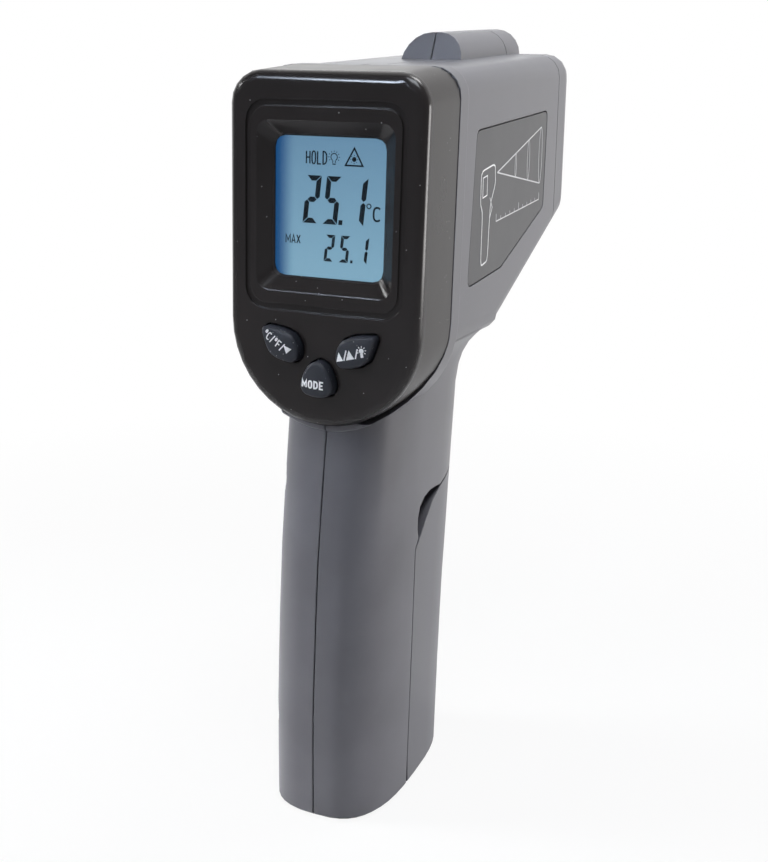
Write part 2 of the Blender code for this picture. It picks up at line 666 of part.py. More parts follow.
cut(battery_door, prism("swing_room", swing, "X", -lug_near - 0.3, lug_near + 0.3))
for side in (-1, 1):
    lug = side_rod("lug", KNUCKLE_RADIUS - 0.2, side, HINGE_Y, HINGE_HEIGHT, lug_near, GRIP_WIDTH, 24)
    join(battery_door, common(lug, grip_solid("lug_keep", 0.6, -4, 60)))
cut(battery_door, rod("lug_bore", DOOR_PIN_RADIUS + FIT_GAP, "X", hinge, -lug_bore, lug_bore, 16))
rod("door_pin", DOOR_PIN_RADIUS, "X", hinge, -DOOR_PIN_LENGTH / 2, DOOR_PIN_LENGTH / 2, 16)

# Labels in shallow recesses on both sides of the head
label_low = -LABEL_DROP - LABEL_HEIGHT
label_end = NOSE_SEAM - LABEL_MARGIN
label = [(LABEL_START - 4.2, label_low), (LABEL_START + 17.9, label_low), (label_end - 0.7, -LABEL_DROP - 22),
         (label_end, -LABEL_DROP), (LABEL_START, -LABEL_DROP)]
label = rounded(label, 1.8, 3)
for side, name in ((-1, "side_label_left"), (1, "side_label_right")):
    low, high = sorted((side * (HEAD_HALF - 0.7), side * (HEAD_HALF + 5)))
    cut(shell, tilted(prism("label_room", widened(label, FIT_GAP), "X", low, high)))
    low, high = sorted((side * (HEAD_HALF - 0.4), side * (HEAD_HALF - 0.05)))
    tilted(prism(name, label, "X", low, high))

# Screw seats on the left, the two halves, and their screws
for y, z, seat in SCREW_PLACES:
    cut(shell, rod("seat", SCREW_HEAD + 0.4, "X", (0, y, z), -40, FIT_GAP - seat, 20))
left_housing = copy_of(shell, "left_housing")
cut(left_housing, block("right_part", (-FIT_GAP / 2, -FAR, -FAR), (FAR, FAR, FAR)))
shell.name = "right_housing"
cut(shell, block("left_part", (-FAR, -FAR, -FAR), (FIT_GAP / 2, FAR, FAR)))
bpy.data.objects.remove(outer, do_unlink=True)
bpy.data.objects.remove(core, do_unlink=True)
for i, (y, z, seat) in enumerate(SCREW_PLACES):
    profile = [(-seat - 1.6, 0), (-seat - 1.6, SCREW_HEAD - 0.2), (-seat, SCREW_HEAD), (-seat, SCREW_RADIUS),
               (6.5, SCREW_RADIUS), (7.8, 0.3), (7.8, 0)]
    turned(f"housing_screw_{i + 1}", profile, "X", (0, y, z), 16)

# Nose cap: cavity, spigot, lens opening and laser hole
cut(nose_cap, head_solid("nose_room", NOSE_WALL, HEAD_LENGTH - 2.5))
cut(nose_cap, hump_solid("nose_hump_room", HUMP_WALL, HEAD_LENGTH - 3.2))
spigot = head_solid("spigot", WALL + FIT_GAP + 0.05, NOSE_SEAM + 2)
common(spigot, tilted(block("spigot_keep", (-FAR, NOSE_SEAM - 2.5, -FAR), (FAR, FAR, -4.8))))
cut(spigot, head_solid("spigot_room", NOSE_WALL - 0.15, NOSE_SEAM + 6))
join(nose_cap, spigot)
throat = LENS_RADIUS + 0.7
mouth = [(HEAD_LENGTH - 6, throat), (HEAD_LENGTH - 1.9, throat), (HEAD_LENGTH + 0.2, throat + 2.1),
         (HEAD_LENGTH + 3, throat + 2.1)]
cut(nose_cap, tilted(turned("mouth", mouth, "Y", lens_centre, 40)))
hole = [(HEAD_LENGTH - 9, LASER_RADIUS - 0.1), (HEAD_LENGTH - 2.4, LASER_RADIUS - 0.1),
        (HEAD_LENGTH - 2.4, LASER_RADIUS - 1), (HEAD_LENGTH + 4, LASER_RADIUS - 1)]
cut(nose_cap, tilted(turned("laser_hole", hole, "Y", laser_centre, 20)))

# Lens barrel with the lens and its ring
lens_seat = BARREL_FRONT - 8.0
bore = LENS_RADIUS - 0.7
barrel = [(BARREL_REAR, bore), (BARREL_REAR, BARREL_RADIUS), (BARREL_FRONT, BARREL_RADIUS),
          (BARREL_FRONT, LENS_RADIUS + FIT_GAP), (lens_seat, LENS_RADIUS + FIT_GAP), (lens_seat, bore),
          (BARREL_REAR, bore)]
tilted(turned("lens_barrel", barrel, "Y", lens_centre, 32))
lens = [(lens_seat + 0.3, 0), (lens_seat + 0.3, LENS_RADIUS), (lens_seat + 1.6, LENS_RADIUS),
        (lens_seat + 2.2, LENS_RADIUS * 0.6), (lens_seat + 2.5, 0)]
tilted(turned("ir_lens", lens, "Y", lens_centre, 32))
ring = [(2.6, -1.4), (1.9, -0.9), (1.9, 0), (4.6, 0), (4.6, -1.4), (2.6, -1.4)]
ring = [(lens_seat + t, LENS_RADIUS + r) for t, r in ring]
tilted(turned("lens_ring", ring, "Y", lens_centre, 32))

# Sensor on its board behind the barrel, and the laser in the hump
can = [(0, 0), (0, 4.6), (0.5, 4.6), (0.5, 4.1), (4.4, 4.1), (4.4, 0)]
can = [(BARREL_REAR + t, r) for t, r in can]
tilted(turned("thermopile_can", can, "Y", lens_centre, 24))
reach = BARREL_RADIUS - 1
board = box_outline(-reach, LENS_AXIS - reach, reach, LENS_AXIS + reach, 2)
board_front = BARREL_REAR - FIT_GAP
tilted(prism("sensor_board", board, "Y", board_front - BOARD_THICKNESS, board_front))
laser = [(LASER_REAR, 0), (LASER_REAR, LASER_RADIUS), (LASER_FRONT, LASER_RADIUS), (LASER_FRONT, 1.0),
         (LASER_FRONT - 1.5, 0.6), (LASER_FRONT - 1.5, 0)]
tilted(turned("laser_module", laser, "Y", laser_centre, 20))
tilted(rod("laser_window", LASER_RADIUS - 0.4, "Y", laser_centre, HEAD_LENGTH - 3.7, HEAD_LENGTH - 2.7, 20))

# Display bezel
draft = (1 + BEZEL_DRAFT / BEZEL_HALF, 1 + 2 * BEZEL_DRAFT / (BEZEL_TOP - GRIP_HEIGHT))
display_bezel = prism("display_bezel", shield(BEZEL_HALF, BEZEL_HALF, BEZEL_TOP, BEZEL_CORNER), "Y", 0.0,
                      BEZEL_DEPTH, FACE_ROUND, 0.0, 3, draft)
risen(display_bezel)
cut(display_bezel, risen(prism("bezel_in", room, "Y", FACE_PLATE, BEZEL_DEPTH + 3)))
saddle_end = (SEAM_Y + 1.0, saddle[-1][1] + 3.0)
behind = [(RIM_FRONT, -FAR), (FAR, -FAR), (FAR, saddle_end[1]), saddle_end, *saddle[:0:-1],
          (RIM_FRONT, along(saddle, RIM_FRONT))]
cut(display_bezel, prism("saddle_room", widened(behind, FIT_GAP), "X", -FAR, FAR))
screw_x = WINDOW_HALF + LCD_MARGIN + 0.8
BOARD_SCREWS = [(x, z) for z in (HIGH_SCREW_Z, LOW_SCREW_Z) for x in (-screw_x, screw_x)]
for x, z in BOARD_SCREWS:
    join(display_bezel, rod("board_boss", BOARD_BOSS, "Y", (x, 0, z), FACE_PLATE - 1, BOARD_Y - FIT_GAP, 14))
    pilot = BOARD_SCREW_RADIUS + FIT_GAP
    cut(display_bezel, rod("board_pilot", pilot, "Y", (x, 0, z), FACE_PLATE + 0.6, BOARD_Y + 3, 12))
inward = (WINDOW_HALF / (WINDOW_HALF + WINDOW_SLOPE), WINDOW_HEIGHT / (WINDOW_HEIGHT + 2 * WINDOW_SLOPE))
slope = window_outline(WINDOW_SLOPE, 2.6)
cut(display_bezel, prism("slope", slope, "Y", -0.3, FACE_PLATE - 0.9, taper=inward))
cut(display_bezel, prism("through", window_outline(0.0, 1.6), "Y", 1.0, FACE_PLATE + 1))
cut(display_bezel, prism("rebate", window_outline(1.4, 1.6), "Y", FACE_PLATE - 1.0, FACE_PLATE + 1))
groove = prism("groove", window_outline(RING_MARGIN, 4.2, 4, 1.4), "Y", -1, 0.5)
cut(groove, prism("island", window_outline(RING_MARGIN - RING_WIDTH, 3.2, 4, 1.3), "Y", -2, 2))
cut(display_bezel, groove)

# Keys in the bezel, and the mat behind them
side_key = [(x, CHIN_CENTRE + z) for x, z in KEY_OUTLINE]
mode_key = [(x, CHIN_CENTRE + z) for x, z in MODE_OUTLINE]
keys = {"key_unit_down": mirrored(side_key), "key_mode": mode_key, "key_light_up": side_key}
mat_half = BEZEL_INNER - MAT_MARGIN
keypad_mat = prism("keypad_mat", shield(mat_half, mat_half, MAT_TOP, 1), "Y", FACE_PLATE + FIT_GAP,
                   BOARD_Y - FIT_GAP)
mat_in = shield(mat_half - 1.2, mat_half - 1.2, MAT_TOP - 0.8, 0.2)
cut(keypad_mat, prism("mat_in", mat_in, "Y", FACE_PLATE + 1.3, FAR))
for name, outline in keys.items():
    smooth = rounded(outline, 0.8, 2)
    cut(display_bezel, prism("key_hole", widened(smooth, FIT_GAP), "Y", -4, FACE_PLATE + 1))
    cut(keypad_mat, prism("mat_hole", widened(smooth, 0.8), "Y", 0, FAR))
    key = prism(name, smooth, "Y", -KEY_PROUD, FACE_PLATE + 1.2, 0.45, 0.0, 2)
    join(key, prism("flange", widened(smooth, 0.5), "Y", FACE_PLATE + FIT_GAP, FACE_PLATE + 1.3))
    x, z = middle_of(outline)
    join(key, rod("pill", 1.6, "Y", (x, 0, z), FACE_PLATE + 0.6, BOARD_Y - FIT_GAP - KEY_TRAVEL, 16))

# Display window, panel, light and frame
prism("display_window", window_outline(1.4 - FIT_GAP, 1.4), "Y", FACE_PLATE - WINDOW_THICKNESS, FACE_PLATE)
panel = window_outline(LCD_MARGIN, 0.0)
panel_front = FACE_PLATE + FIT_GAP
panel_back = panel_front + LCD_THICKNESS
prism("lcd_panel", panel, "Y", panel_front, panel_back)
prism("backlight_plate", panel, "Y", panel_back + FIT_GAP, BOARD_Y - 0.4)
lcd_frame = prism("lcd_frame", window_outline(LCD_MARGIN + FIT_GAP + FRAME_WALL, 1), "Y", panel_front,
                  BOARD_Y - FIT_GAP)
cut(lcd_frame, prism("lcd_room", window_outline(LCD_MARGIN + FIT_GAP, 0.0), "Y", 0, FAR))

# Main board with its screws and buzzer
board_half = BEZEL_INNER - BOARD_MARGIN
main_board = prism("main_board", shield(board_half, board_half, BEZEL_TOP - BEZEL_WALL - 0.8, 4), "Y", BOARD_Y,
                   BOARD_BACK)
screw = [(-3.6, 0), (-3.6, BOARD_SCREW_RADIUS), (BOARD_THICKNESS + FIT_GAP, BOARD_SCREW_RADIUS),
         (BOARD_THICKNESS + FIT_GAP, BOARD_SCREW_HEAD), (BOARD_THICKNESS + 1.3, BOARD_SCREW_HEAD - 0.2),
         (BOARD_THICKNESS + 1.3, 0)]
for i, (x, z) in enumerate(BOARD_SCREWS):
    cut(main_board, rod("board_hole", BOARD_SCREW_RADIUS + 0.4, "Y", (x, 0, z), BOARD_Y - 2, BOARD_Y + 4, 12))
    turned(f"board_screw_{i + 1}", screw, "Y", (x, BOARD_Y, z), 12)
rod("buzzer", 5.0, "Y", (board_half - 9.2, 0, WINDOW_LOW + 9), BOARD_BACK + FIT_GAP, BOARD_BACK + 4, 24)

# Trigger and its pin
blade = [(-0.3, -19.4), (6.5, -19.8), (12.5, -20.6), (16.8, -20.9), (17.6, -20.2), (14.2, -16.5), (11.6, -12),
         (9.8, -7), (8.6, -2), (7.2, 2.4), (2.0, 3.5)]
blade += arc(0, 0, 4.0, 4.0, 80, 215, 8) + [(-1.3, -6.0), (-1.3, -11.5), (-0.3, -14.5)]
blade = [(PIVOT_Y + y, PIVOT_Z + z) for y, z in blade]
trigger = prism("trigger", blade, "X", -TRIGGER_WIDTH / 2, TRIGGER_WIDTH / 2, 0.8, 0.8, 2)
cut(trigger, rod("trigger_bore", TRIGGER_PIN_RADIUS + FIT_GAP, "X", pivot, -FAR, FAR, 16))
rod("trigger_pin", TRIGGER_PIN_RADIUS, "X", pivot, -pin_half, pin_half, 16)

# Switch with its board and plunger, and the trigger's spring
reach = GRIP_WIDTH / 2 - 4.7
board = box_outline(-reach, PIVOT_Z - 23, reach, PIVOT_Z - 4, 1)
prism("switch_board", board, "Y", SWITCH_FACE - BOARD_THICKNESS, SWITCH_FACE)
case = box_outline(-3.2, SWITCH_Z - 3.2, 3.2, SWITCH_Z + 3.2, 0.6)
switch_front = SWITCH_FACE + FIT_GAP + SWITCH_DEPTH
switch = prism("trigger_switch", case, "Y", SWITCH_FACE + FIT_GAP, switch_front)
cut(switch, rod("plunger_room", 1.6, "Y", (0, 0, SWITCH_Z), SWITCH_FACE + 0.9, switch_front + 5, 16))
rod("switch_plunger", 1.3, "Y", (0, 0, SWITCH_Z), SWITCH_FACE + 2.2, PIVOT_Y - 1.6, 16)
coil = []
coil_low = SWITCH_FACE + SPRING_WIRE + FIT_GAP
coil_high = PIVOT_Y - SPRING_WIRE - 0.6
for i in range(51):
    a = 2 * math.pi * i / 10
    y = coil_low + (coil_high - coil_low) * i / 50
    coil.append((SPRING_RADIUS * math.cos(a), y, PIVOT_Z - 17 + SPRING_RADIUS * math.sin(a)))
wire("trigger_spring", SPRING_WIRE, coil)

# Battery in its cradle, with the snap on its terminals
cradle = [(0, 0), (BATTERY_DEPTH - 2, 0), (BATTERY_DEPTH - 2, CRADLE_WALL), (CRADLE_WALL, CRADLE_WALL),
          (CRADLE_WALL, BATTERY_HEIGHT + 2), (0, BATTERY_HEIGHT + 2)]
cradle = [(CRADLE_Y + y, CRADLE_Z + z) for y, z in cradle]
cradle_half = BATTERY_WIDTH / 2 + 0.9
prism("battery_cradle", cradle, "X", -cradle_half, cradle_half)
case = box_outline(-BATTERY_WIDTH / 2, BATTERY_Y, BATTERY_WIDTH / 2, BATTERY_Y + BATTERY_DEPTH, 2)
battery = prism("battery", case, "Z", BATTERY_Z, BATTERY_TOP)
reach = BATTERY_DEPTH / 2 - 1.25
case = box_outline(-6.2, BATTERY_MIDDLE - reach, 6.2, BATTERY_MIDDLE + reach, 3)
snap = prism("battery_snap", case, "Z", BATTERY_TOP + 0.4, BATTERY_TOP + 0.4 + SNAP_HEIGHT)
for way, radius in ((-1, 2.9), (1, 3.6)):
    stud = (0, BATTERY_MIDDLE + way * TERMINAL_SPACING / 2, 0)
    join(battery, rod("stud", radius, "Z", stud, BATTERY_TOP - 1, BATTERY_TOP + 2.0, 16))
    cut(snap, rod("stud_room", radius + FIT_GAP, "Z", stud, BATTERY_TOP - 2, BATTERY_TOP + 2.0 + FIT_GAP, 16))

# Leads from battery, sensor and laser to the main board
lead_end = BOARD_BACK + 0.8
lead_low = BATTERY_TOP + SNAP_HEIGHT + 1.2
for name, x in (("battery_lead_red", 2.4), ("battery_lead_black", -2.4)):
    wire(name, 0.6, [
        (x, BATTERY_MIDDLE - 5, lead_low), (x, BATTERY_MIDDLE - 7.5, lead_low + 2),
        (x, SEAM_Y + 3.9, GRIP_HEIGHT - 12), (x, SEAM_Y + 3.4, GRIP_HEIGHT - 2),
        (x, SEAM_Y + 3.1, GRIP_HEIGHT + 6), (x, SEAM_Y + 2.1, GRIP_HEIGHT + 11),
        (x, SEAM_Y - 0.4, GRIP_HEIGHT + 13.4), (x, lead_end, GRIP_HEIGHT + 14),
    ])
_, y, z = in_head(0, board_front - BOARD_THICKNESS - 0.8, LENS_AXIS + 4)
wire("sensor_lead", 0.8, [
    (-6, y, z), (-7, y - 5, z - 1), (-8.5, SEAM_Y + 24, WINDOW_LOW + 24), (-8.5, SEAM_Y + 8, WINDOW_LOW + 22),
    (-8, SEAM_Y + 0.1, WINDOW_LOW + 21.6), (-8, lead_end + 0.1, WINDOW_LOW + 21.5),
])
wire("laser_lead", 0.6, [
    in_head(0, LASER_REAR - 1.1, LASER_AXIS), in_head(0, LASER_REAR - 4.5, LASER_AXIS - 0.6),
    in_head(1, LASER_REAR - 13, -6.5), (3, LASER_REAR - 23, BEZEL_TOP - 7),
    (6, LASER_REAR - 29, BEZEL_TOP - 9.5), (8, SEAM_Y + 18, BEZEL_TOP - 10),
    (8, SEAM_Y + 2, BEZEL_TOP - 9.7), (8, lead_end, BEZEL_TOP - 9.5),
])


# Materials, one for each kind of piece
def paint(look, colour, metal, rough, names):
    material = bpy.data.materials.new(look)
    material.use_nodes = True
    shader = material.node_tree.nodes["Principled BSDF"]
    shader.inputs["Base Color"].default_value = (*colour, 1)
    shader.inputs["Metallic"].default_value = metal
    shader.inputs["Roughness"].default_value = rough
    for name in names:
        mesh = parts.objects[name].data
        mesh.materials.clear()
        mesh.materials.append(material)


STEEL = ["thermopile_can", "trigger_pin", "trigger_spring", "door_pin"]
STEEL += [o.name for o in parts.objects if "_screw_" in o.name]
CASE = ["left_housing", "right_housing", "nose_cap", "battery_door", "trigger"]
paint("grey_plastic", (0.10, 0.105, 0.125), 0, 0.42, CASE)
paint("black_plastic", (0.012, 0.012, 0.012), 0, 0.35, ["display_bezel", "lcd_frame", "lens_ring"])
paint("dark_plastic", (0.02, 0.02, 0.022), 0, 0.5, ["battery_cradle", "buzzer", "trigger_switch", "battery_snap"])
paint("key_rubber", (0.010, 0.010, 0.011), 0, 0.7, [*keys, "keypad_mat"])
paint("clear_window", (0.9, 0.95, 1.0), 0, 0.05, ["display_window", "laser_window"])
paint("lcd_glass", (0.35, 0.55, 0.68), 0, 0.3, ["lcd_panel"])
paint("diffuser", (0.9, 0.92, 0.95), 0, 0.5, ["backlight_plate"])
paint("lens_milk", (0.55, 0.55, 0.58), 0, 0.3, ["ir_lens"])
paint("board_green", (0.02, 0.18, 0.07), 0, 0.5, ["main_board", "sensor_board", "switch_board"])
paint("label_film", (0.05, 0.05, 0.055), 0, 0.4, ["side_label_right", "side_label_left"])
paint("steel", (0.6, 0.6, 0.6), 1, 0.35, STEEL)
paint("brass", (0.75, 0.55, 0.22), 1, 0.35, ["laser_module"])
paint("barrel_black", (0.02, 0.02, 0.02), 0, 0.6, ["lens_barrel"])
paint("red_cable", (0.6, 0.02, 0.02), 0, 0.5, ["battery_lead_red", "laser_lead"])
paint("red_plastic", (0.6, 0.02, 0.02), 0, 0.3, ["switch_plunger"])
paint("dark_cable", (0.02, 0.02, 0.02), 0, 0.5, ["battery_lead_black", "sensor_lead"])
paint("battery_wrap", (0.05, 0.06, 0.09), 0, 0.35, ["battery"])

# Centring over the middle of the bounding box, through one parent
low = min(v.co.y for o in parts.objects for v in o.data.vertices)
high = max(v.co.y for o in parts.objects for v in o.data.vertices)
frame = bpy.data.objects.new("frame", None)
frame.location.y = -(low + high) / 2


# Moving pieces turn or slide about their own origins
def hang(name, point):
    obj = parts.objects[name]
    obj.data.transform(Matrix.Translation(-Vector(point) * MM))
    obj.location = Vector(point) * MM


for name, outline in keys.items():
    x, z = middle_of(outline)
    hang(name, (x, 0, z))
hang("trigger", pivot)
hang("switch_plunger", (0, SWITCH_FACE, SWITCH_Z))
hang("battery_door", hinge)
for obj in parts.objects:
    obj.parent = frame
parts.objects.link(frame)
print("display face at", round(frame.location.y / MM, 3), "mm")
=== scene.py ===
"""Looks of the handheld infrared thermometer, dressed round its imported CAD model. Lengths are in metres."""

import math

import bmesh
import bpy
from mathutils import Matrix, Vector
from mathutils.bvhtree import BVHTree


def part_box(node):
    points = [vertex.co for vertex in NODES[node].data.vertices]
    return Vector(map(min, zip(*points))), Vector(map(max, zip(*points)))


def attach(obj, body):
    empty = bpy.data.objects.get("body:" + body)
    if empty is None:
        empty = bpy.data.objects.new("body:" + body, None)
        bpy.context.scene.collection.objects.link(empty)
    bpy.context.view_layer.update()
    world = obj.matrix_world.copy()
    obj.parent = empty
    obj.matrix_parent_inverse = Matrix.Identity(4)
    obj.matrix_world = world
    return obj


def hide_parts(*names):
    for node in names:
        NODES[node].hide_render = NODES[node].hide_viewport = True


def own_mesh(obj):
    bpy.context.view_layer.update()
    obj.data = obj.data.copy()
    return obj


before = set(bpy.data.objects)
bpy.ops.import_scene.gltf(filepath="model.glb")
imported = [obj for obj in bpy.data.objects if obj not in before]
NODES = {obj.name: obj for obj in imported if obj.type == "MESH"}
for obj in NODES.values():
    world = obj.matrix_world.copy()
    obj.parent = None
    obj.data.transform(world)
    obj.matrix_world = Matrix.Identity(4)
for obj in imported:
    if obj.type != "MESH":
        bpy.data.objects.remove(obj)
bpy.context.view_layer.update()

MM = 0.001
scene = bpy.context.scene
looks = bpy.data.collections.new("looks")
scene.collection.children.link(looks)

# Places taken from the CAD model
PANEL_LOW, PANEL_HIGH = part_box("lcd_panel")
FACE_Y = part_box("display_bezel")[0].y
TOP_Z = 0.1525
HEAD_TILT = math.radians(4.8)
LABEL_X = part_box("side_label_right")[1].x
HEAD_FRAME = Matrix.Translation((0, FACE_Y, TOP_Z)) @ Matrix.Rotation(HEAD_TILT, 4, "X")

# Limits between which a noise texture has most of its values
NOISE_LOW = 0.3
NOISE_HIGH = 0.7

# Specks of dust: one at most in each cell of the pitch
DUST_PITCH = 0.0007
DUST_RADIUS = 0.00009
DUST_COLOUR = (0.30, 0.30, 0.31)

# The bezel's face is polished down to a depth, with a short step to its duller sides
POLISH_DEPTH = 0.0022
POLISH_STEP = 0.0006

# The display's left edge, where its light gets deeper
DEEP_EDGE = -0.0115
DEEP_END = -0.0076


# Nodes of materials
def coordinate(tree, axis=None, space="Object"):
    """A place on the surface, or one axis of it."""
    place = tree.nodes.new("ShaderNodeTexCoord").outputs[space]
    if axis is None:
        return place
    axes = tree.nodes.new("ShaderNodeSeparateXYZ")
    tree.links.new(place, axes.inputs["Vector"])
    return axes.outputs[axis]


def ramp(tree, value, low, high, first=0.0, last=1.0, smooth=False):
    """A value that runs from first to last while another one goes from low to high."""
    node = tree.nodes.new("ShaderNodeMapRange")
    node.inputs["From Min"].default_value = low
    node.inputs["From Max"].default_value = high
    node.inputs["To Min"].default_value = first
    node.inputs["To Max"].default_value = last
    if smooth:
        node.interpolation_type = "SMOOTHSTEP"
    tree.links.new(value, node.inputs["Value"])
    return node.outputs["Result"]


def maths(tree, operation, first, second):
    """The result of an operation on a value and either another value or a plain number."""
    node = tree.nodes.new("ShaderNodeMath")
    node.operation = operation
    tree.links.new(first, node.inputs[0])
    if isinstance(second, float):
        node.inputs[1].default_value = second
    else:
        tree.links.new(second, node.inputs[1])
    return node.outputs["Value"]


def mixed(tree, factor, first, second, kind="RGBA"):
    """A mix of two colours, or of two values where kind is FLOAT. A colour may be written as a plain one."""
    node = tree.nodes.new("ShaderNodeMix")
    node.data_type = kind
    tree.links.new(factor, node.inputs["Factor"])
    for name, part in (("A", first), ("B", second)):
        if isinstance(part, tuple):
            node.inputs[name].default_value = (*part, 1)
        else:
            tree.links.new(part, node.inputs[name])
    return node.outputs["Result"]


def noise(tree, scale, detail=3.0, stretch=(1, 1, 1)):
    """The value of a noise in object space. Scale counts features per metre."""
    move = tree.nodes.new("ShaderNodeMapping")
    move.inputs["Scale"].default_value = stretch
    texture = tree.nodes.new("ShaderNodeTexNoise")
    texture.inputs["Scale"].default_value = scale
    texture.inputs["Detail"].default_value = detail
    tree.links.new(coordinate(tree), move.inputs["Vector"])
    tree.links.new(move.outputs["Vector"], texture.inputs["Vector"])
    return texture.outputs["Fac"]


def spread(tree, value, low, high):
    """A noise spread between two numbers."""
    return ramp(tree, value, NOISE_LOW, NOISE_HIGH, low, high)


def relief(tree, shader, height, depth, strength=1.0, normal=None):
    """Surface relief from a height, on top of a normal."""
    node = tree.nodes.new("ShaderNodeBump")
    node.inputs["Strength"].default_value = strength
    node.inputs["Distance"].default_value = depth
    tree.links.new(height, node.inputs["Height"])
    if normal:
        tree.links.new(normal, node.inputs["Normal"])
    tree.links.new(node.outputs["Normal"], shader.inputs["Normal"])


def soft_edges(tree, radius):
    """A normal that rounds edges by a radius, and a value that is 1 on those edges."""
    soft = tree.nodes.new("ShaderNodeBevel")
    soft.samples = 4
    soft.inputs["Radius"].default_value = radius
    plain = tree.nodes.new("ShaderNodeNewGeometry")
    turn = tree.nodes.new("ShaderNodeVectorMath")
    turn.operation = "DOT_PRODUCT"
    tree.links.new(soft.outputs["Normal"], turn.inputs[0])
    tree.links.new(plain.outputs["Normal"], turn.inputs[1])
    return soft.outputs["Normal"], ramp(tree, turn.outputs["Value"], low=1.0, high=0.8)


def specks(tree, share):
    """Sparse round specks: 1 inside a speck. Share is how many cells hold one."""
    cells = tree.nodes.new("ShaderNodeTexVoronoi")
    cells.inputs["Scale"].default_value = 1 / DUST_PITCH
    tree.links.new(coordinate(tree), cells.inputs["Vector"])
    near = maths(tree, "LESS_THAN", cells.outputs["Distance"], DUST_RADIUS / DUST_PITCH)
    axes = tree.nodes.new("ShaderNodeSeparateXYZ")
    tree.links.new(cells.outputs["Color"], axes.inputs["Vector"])
    chosen = maths(tree, "LESS_THAN", axes.outputs["X"], share)
    return maths(tree, "MULTIPLY", near, chosen)


def shaded(colour, share):
    """A colour made darker or lighter by a share."""
    return tuple(c * share for c in colour)


# Materials
def new_material(name, colour, rough, metallic=0.0, specular=None):
    """A material with its node tree and its shader."""
    material = bpy.data.materials.new(name)
    material.use_nodes = True
    tree = material.node_tree
    shader = tree.nodes["Principled BSDF"]
    shader.inputs["Base Color"].default_value = (*colour, 1)
    shader.inputs["Roughness"].default_value = rough
    shader.inputs["Metallic"].default_value = metallic
    if specular is not None:
        shader.inputs["Specular IOR Level"].default_value = specular
    return material, tree, shader


def moulded(name, colour, rough, grain=2600.0, depth=0.00001, vary=0.12, edge=0.0, specular=0.5, dust=0.0,
            polished=None):
    """Moulded plastic or rubber: a fine grain, a little cloudiness, gloss that varies, worn edges and dust.

    Polished is (Y, roughness): the surface before that Y is smoother than the rest."""
    material, tree, shader = new_material(name, colour, rough, specular=specular)
    cloud = noise(tree, scale=60.0, detail=4.0)
    fine = noise(tree, scale=grain, detail=2.0)
    tint = mixed(tree, spread(tree, cloud, 0, 1), shaded(colour, 1 - vary), shaded(colour, 1 + vary))
    normal = None
    if edge > 0:
        normal, worn = soft_edges(tree, edge)
        worn = maths(tree, "MULTIPLY", worn, 0.6)
        tint = mixed(tree, worn, tint, tuple(c * 1.3 + 0.004 for c in colour))
    if dust > 0:
        tint = mixed(tree, specks(tree, dust), tint, DUST_COLOUR)
    tree.links.new(tint, shader.inputs["Base Color"])
    gloss = spread(tree, cloud, rough - 0.03, rough + 0.05)
    if polished:
        limit, smoother = polished
        step = ramp(tree, coordinate(tree, "Y"), limit - POLISH_STEP, limit + POLISH_STEP)
        gloss = mixed(tree, step, spread(tree, cloud, smoother - 0.02, smoother + 0.03), gloss, "FLOAT")
    tree.links.new(gloss, shader.inputs["Roughness"])
    relief(tree, shader, fine, depth, strength=0.6, normal=normal)
    return material


def metal(name, colour, rough, stretch=(1, 1, 1)):
    """Bare or coated metal, with fine marks along one way."""
    material, tree, shader = new_material(name, colour, rough, metallic=1.0)
    marks = noise(tree, scale=1500.0, stretch=stretch)
    tree.links.new(spread(tree, marks, rough - 0.08, rough + 0.1), shader.inputs["Roughness"])
    tint = mixed(tree, spread(tree, marks, 0, 1), shaded(colour, 0.85), colour)
    tree.links.new(tint, shader.inputs["Base Color"])
    relief(tree, shader, marks, depth=0.000004, strength=0.5)
    return material


def clear_plastic(name, colour, rough):
    """Clear plastic with faint smears in its gloss."""
    material, tree, shader = new_material(name, colour, rough)
    shader.inputs["Transmission Weight"].default_value = 1.0
    shader.inputs["IOR"].default_value = 1.25
    smear = noise(tree, scale=90.0)
    tree.links.new(spread(tree, smear, rough, rough + 0.03), shader.inputs["Roughness"])
    return material


def lit_panel(name):
    """The display panel: a blue light from behind that is deeper along its left edge and paler below."""
    material, tree, shader = new_material(name, (0.03, 0.05, 0.06), 0.35, specular=0.08)
    across = ramp(tree, coordinate(tree, "X"), DEEP_EDGE, DEEP_END, smooth=True)
    rise = ramp(tree, coordinate(tree, "Z"), PANEL_LOW.z, PANEL_HIGH.z)
    body = mixed(tree, rise, (0.21, 0.385, 0.50), (0.12, 0.24, 0.36))
    light = mixed(tree, across, (0.01, 0.07, 0.20), body)
    tree.links.new(light, shader.inputs["Emission Color"])
    shader.inputs["Emission Strength"].default_value = 1.0
    cloud = noise(tree, scale=300.0)
    tree.links.new(spread(tree, cloud, 0.3, 0.4), shader.inputs["Roughness"])
    return material


def board_mask(name):
    """Green solder mask with the shadow of tracks under it."""
    material, tree, shader = new_material(name, (0.02, 0.18, 0.07), 0.4)
    tracks = tree.nodes.new("ShaderNodeTexBrick")
    tracks.inputs["Scale"].default_value = 260.0
    tracks.inputs["Color1"].default_value = (0.02, 0.16, 0.06, 1)
    tracks.inputs["Color2"].default_value = (0.03, 0.22, 0.09, 1)
    tracks.inputs["Mortar"].default_value = (0.05, 0.30, 0.14, 1)
    tree.links.new(coordinate(tree), tracks.inputs["Vector"])
    tree.links.new(tracks.outputs["Color"], shader.inputs["Base Color"])
    cloud = noise(tree, scale=500.0)
    tree.links.new(spread(tree, cloud, 0.35, 0.5), shader.inputs["Roughness"])
    relief(tree, shader, tracks.outputs["Fac"], depth=0.00002, strength=0.4)
    return material


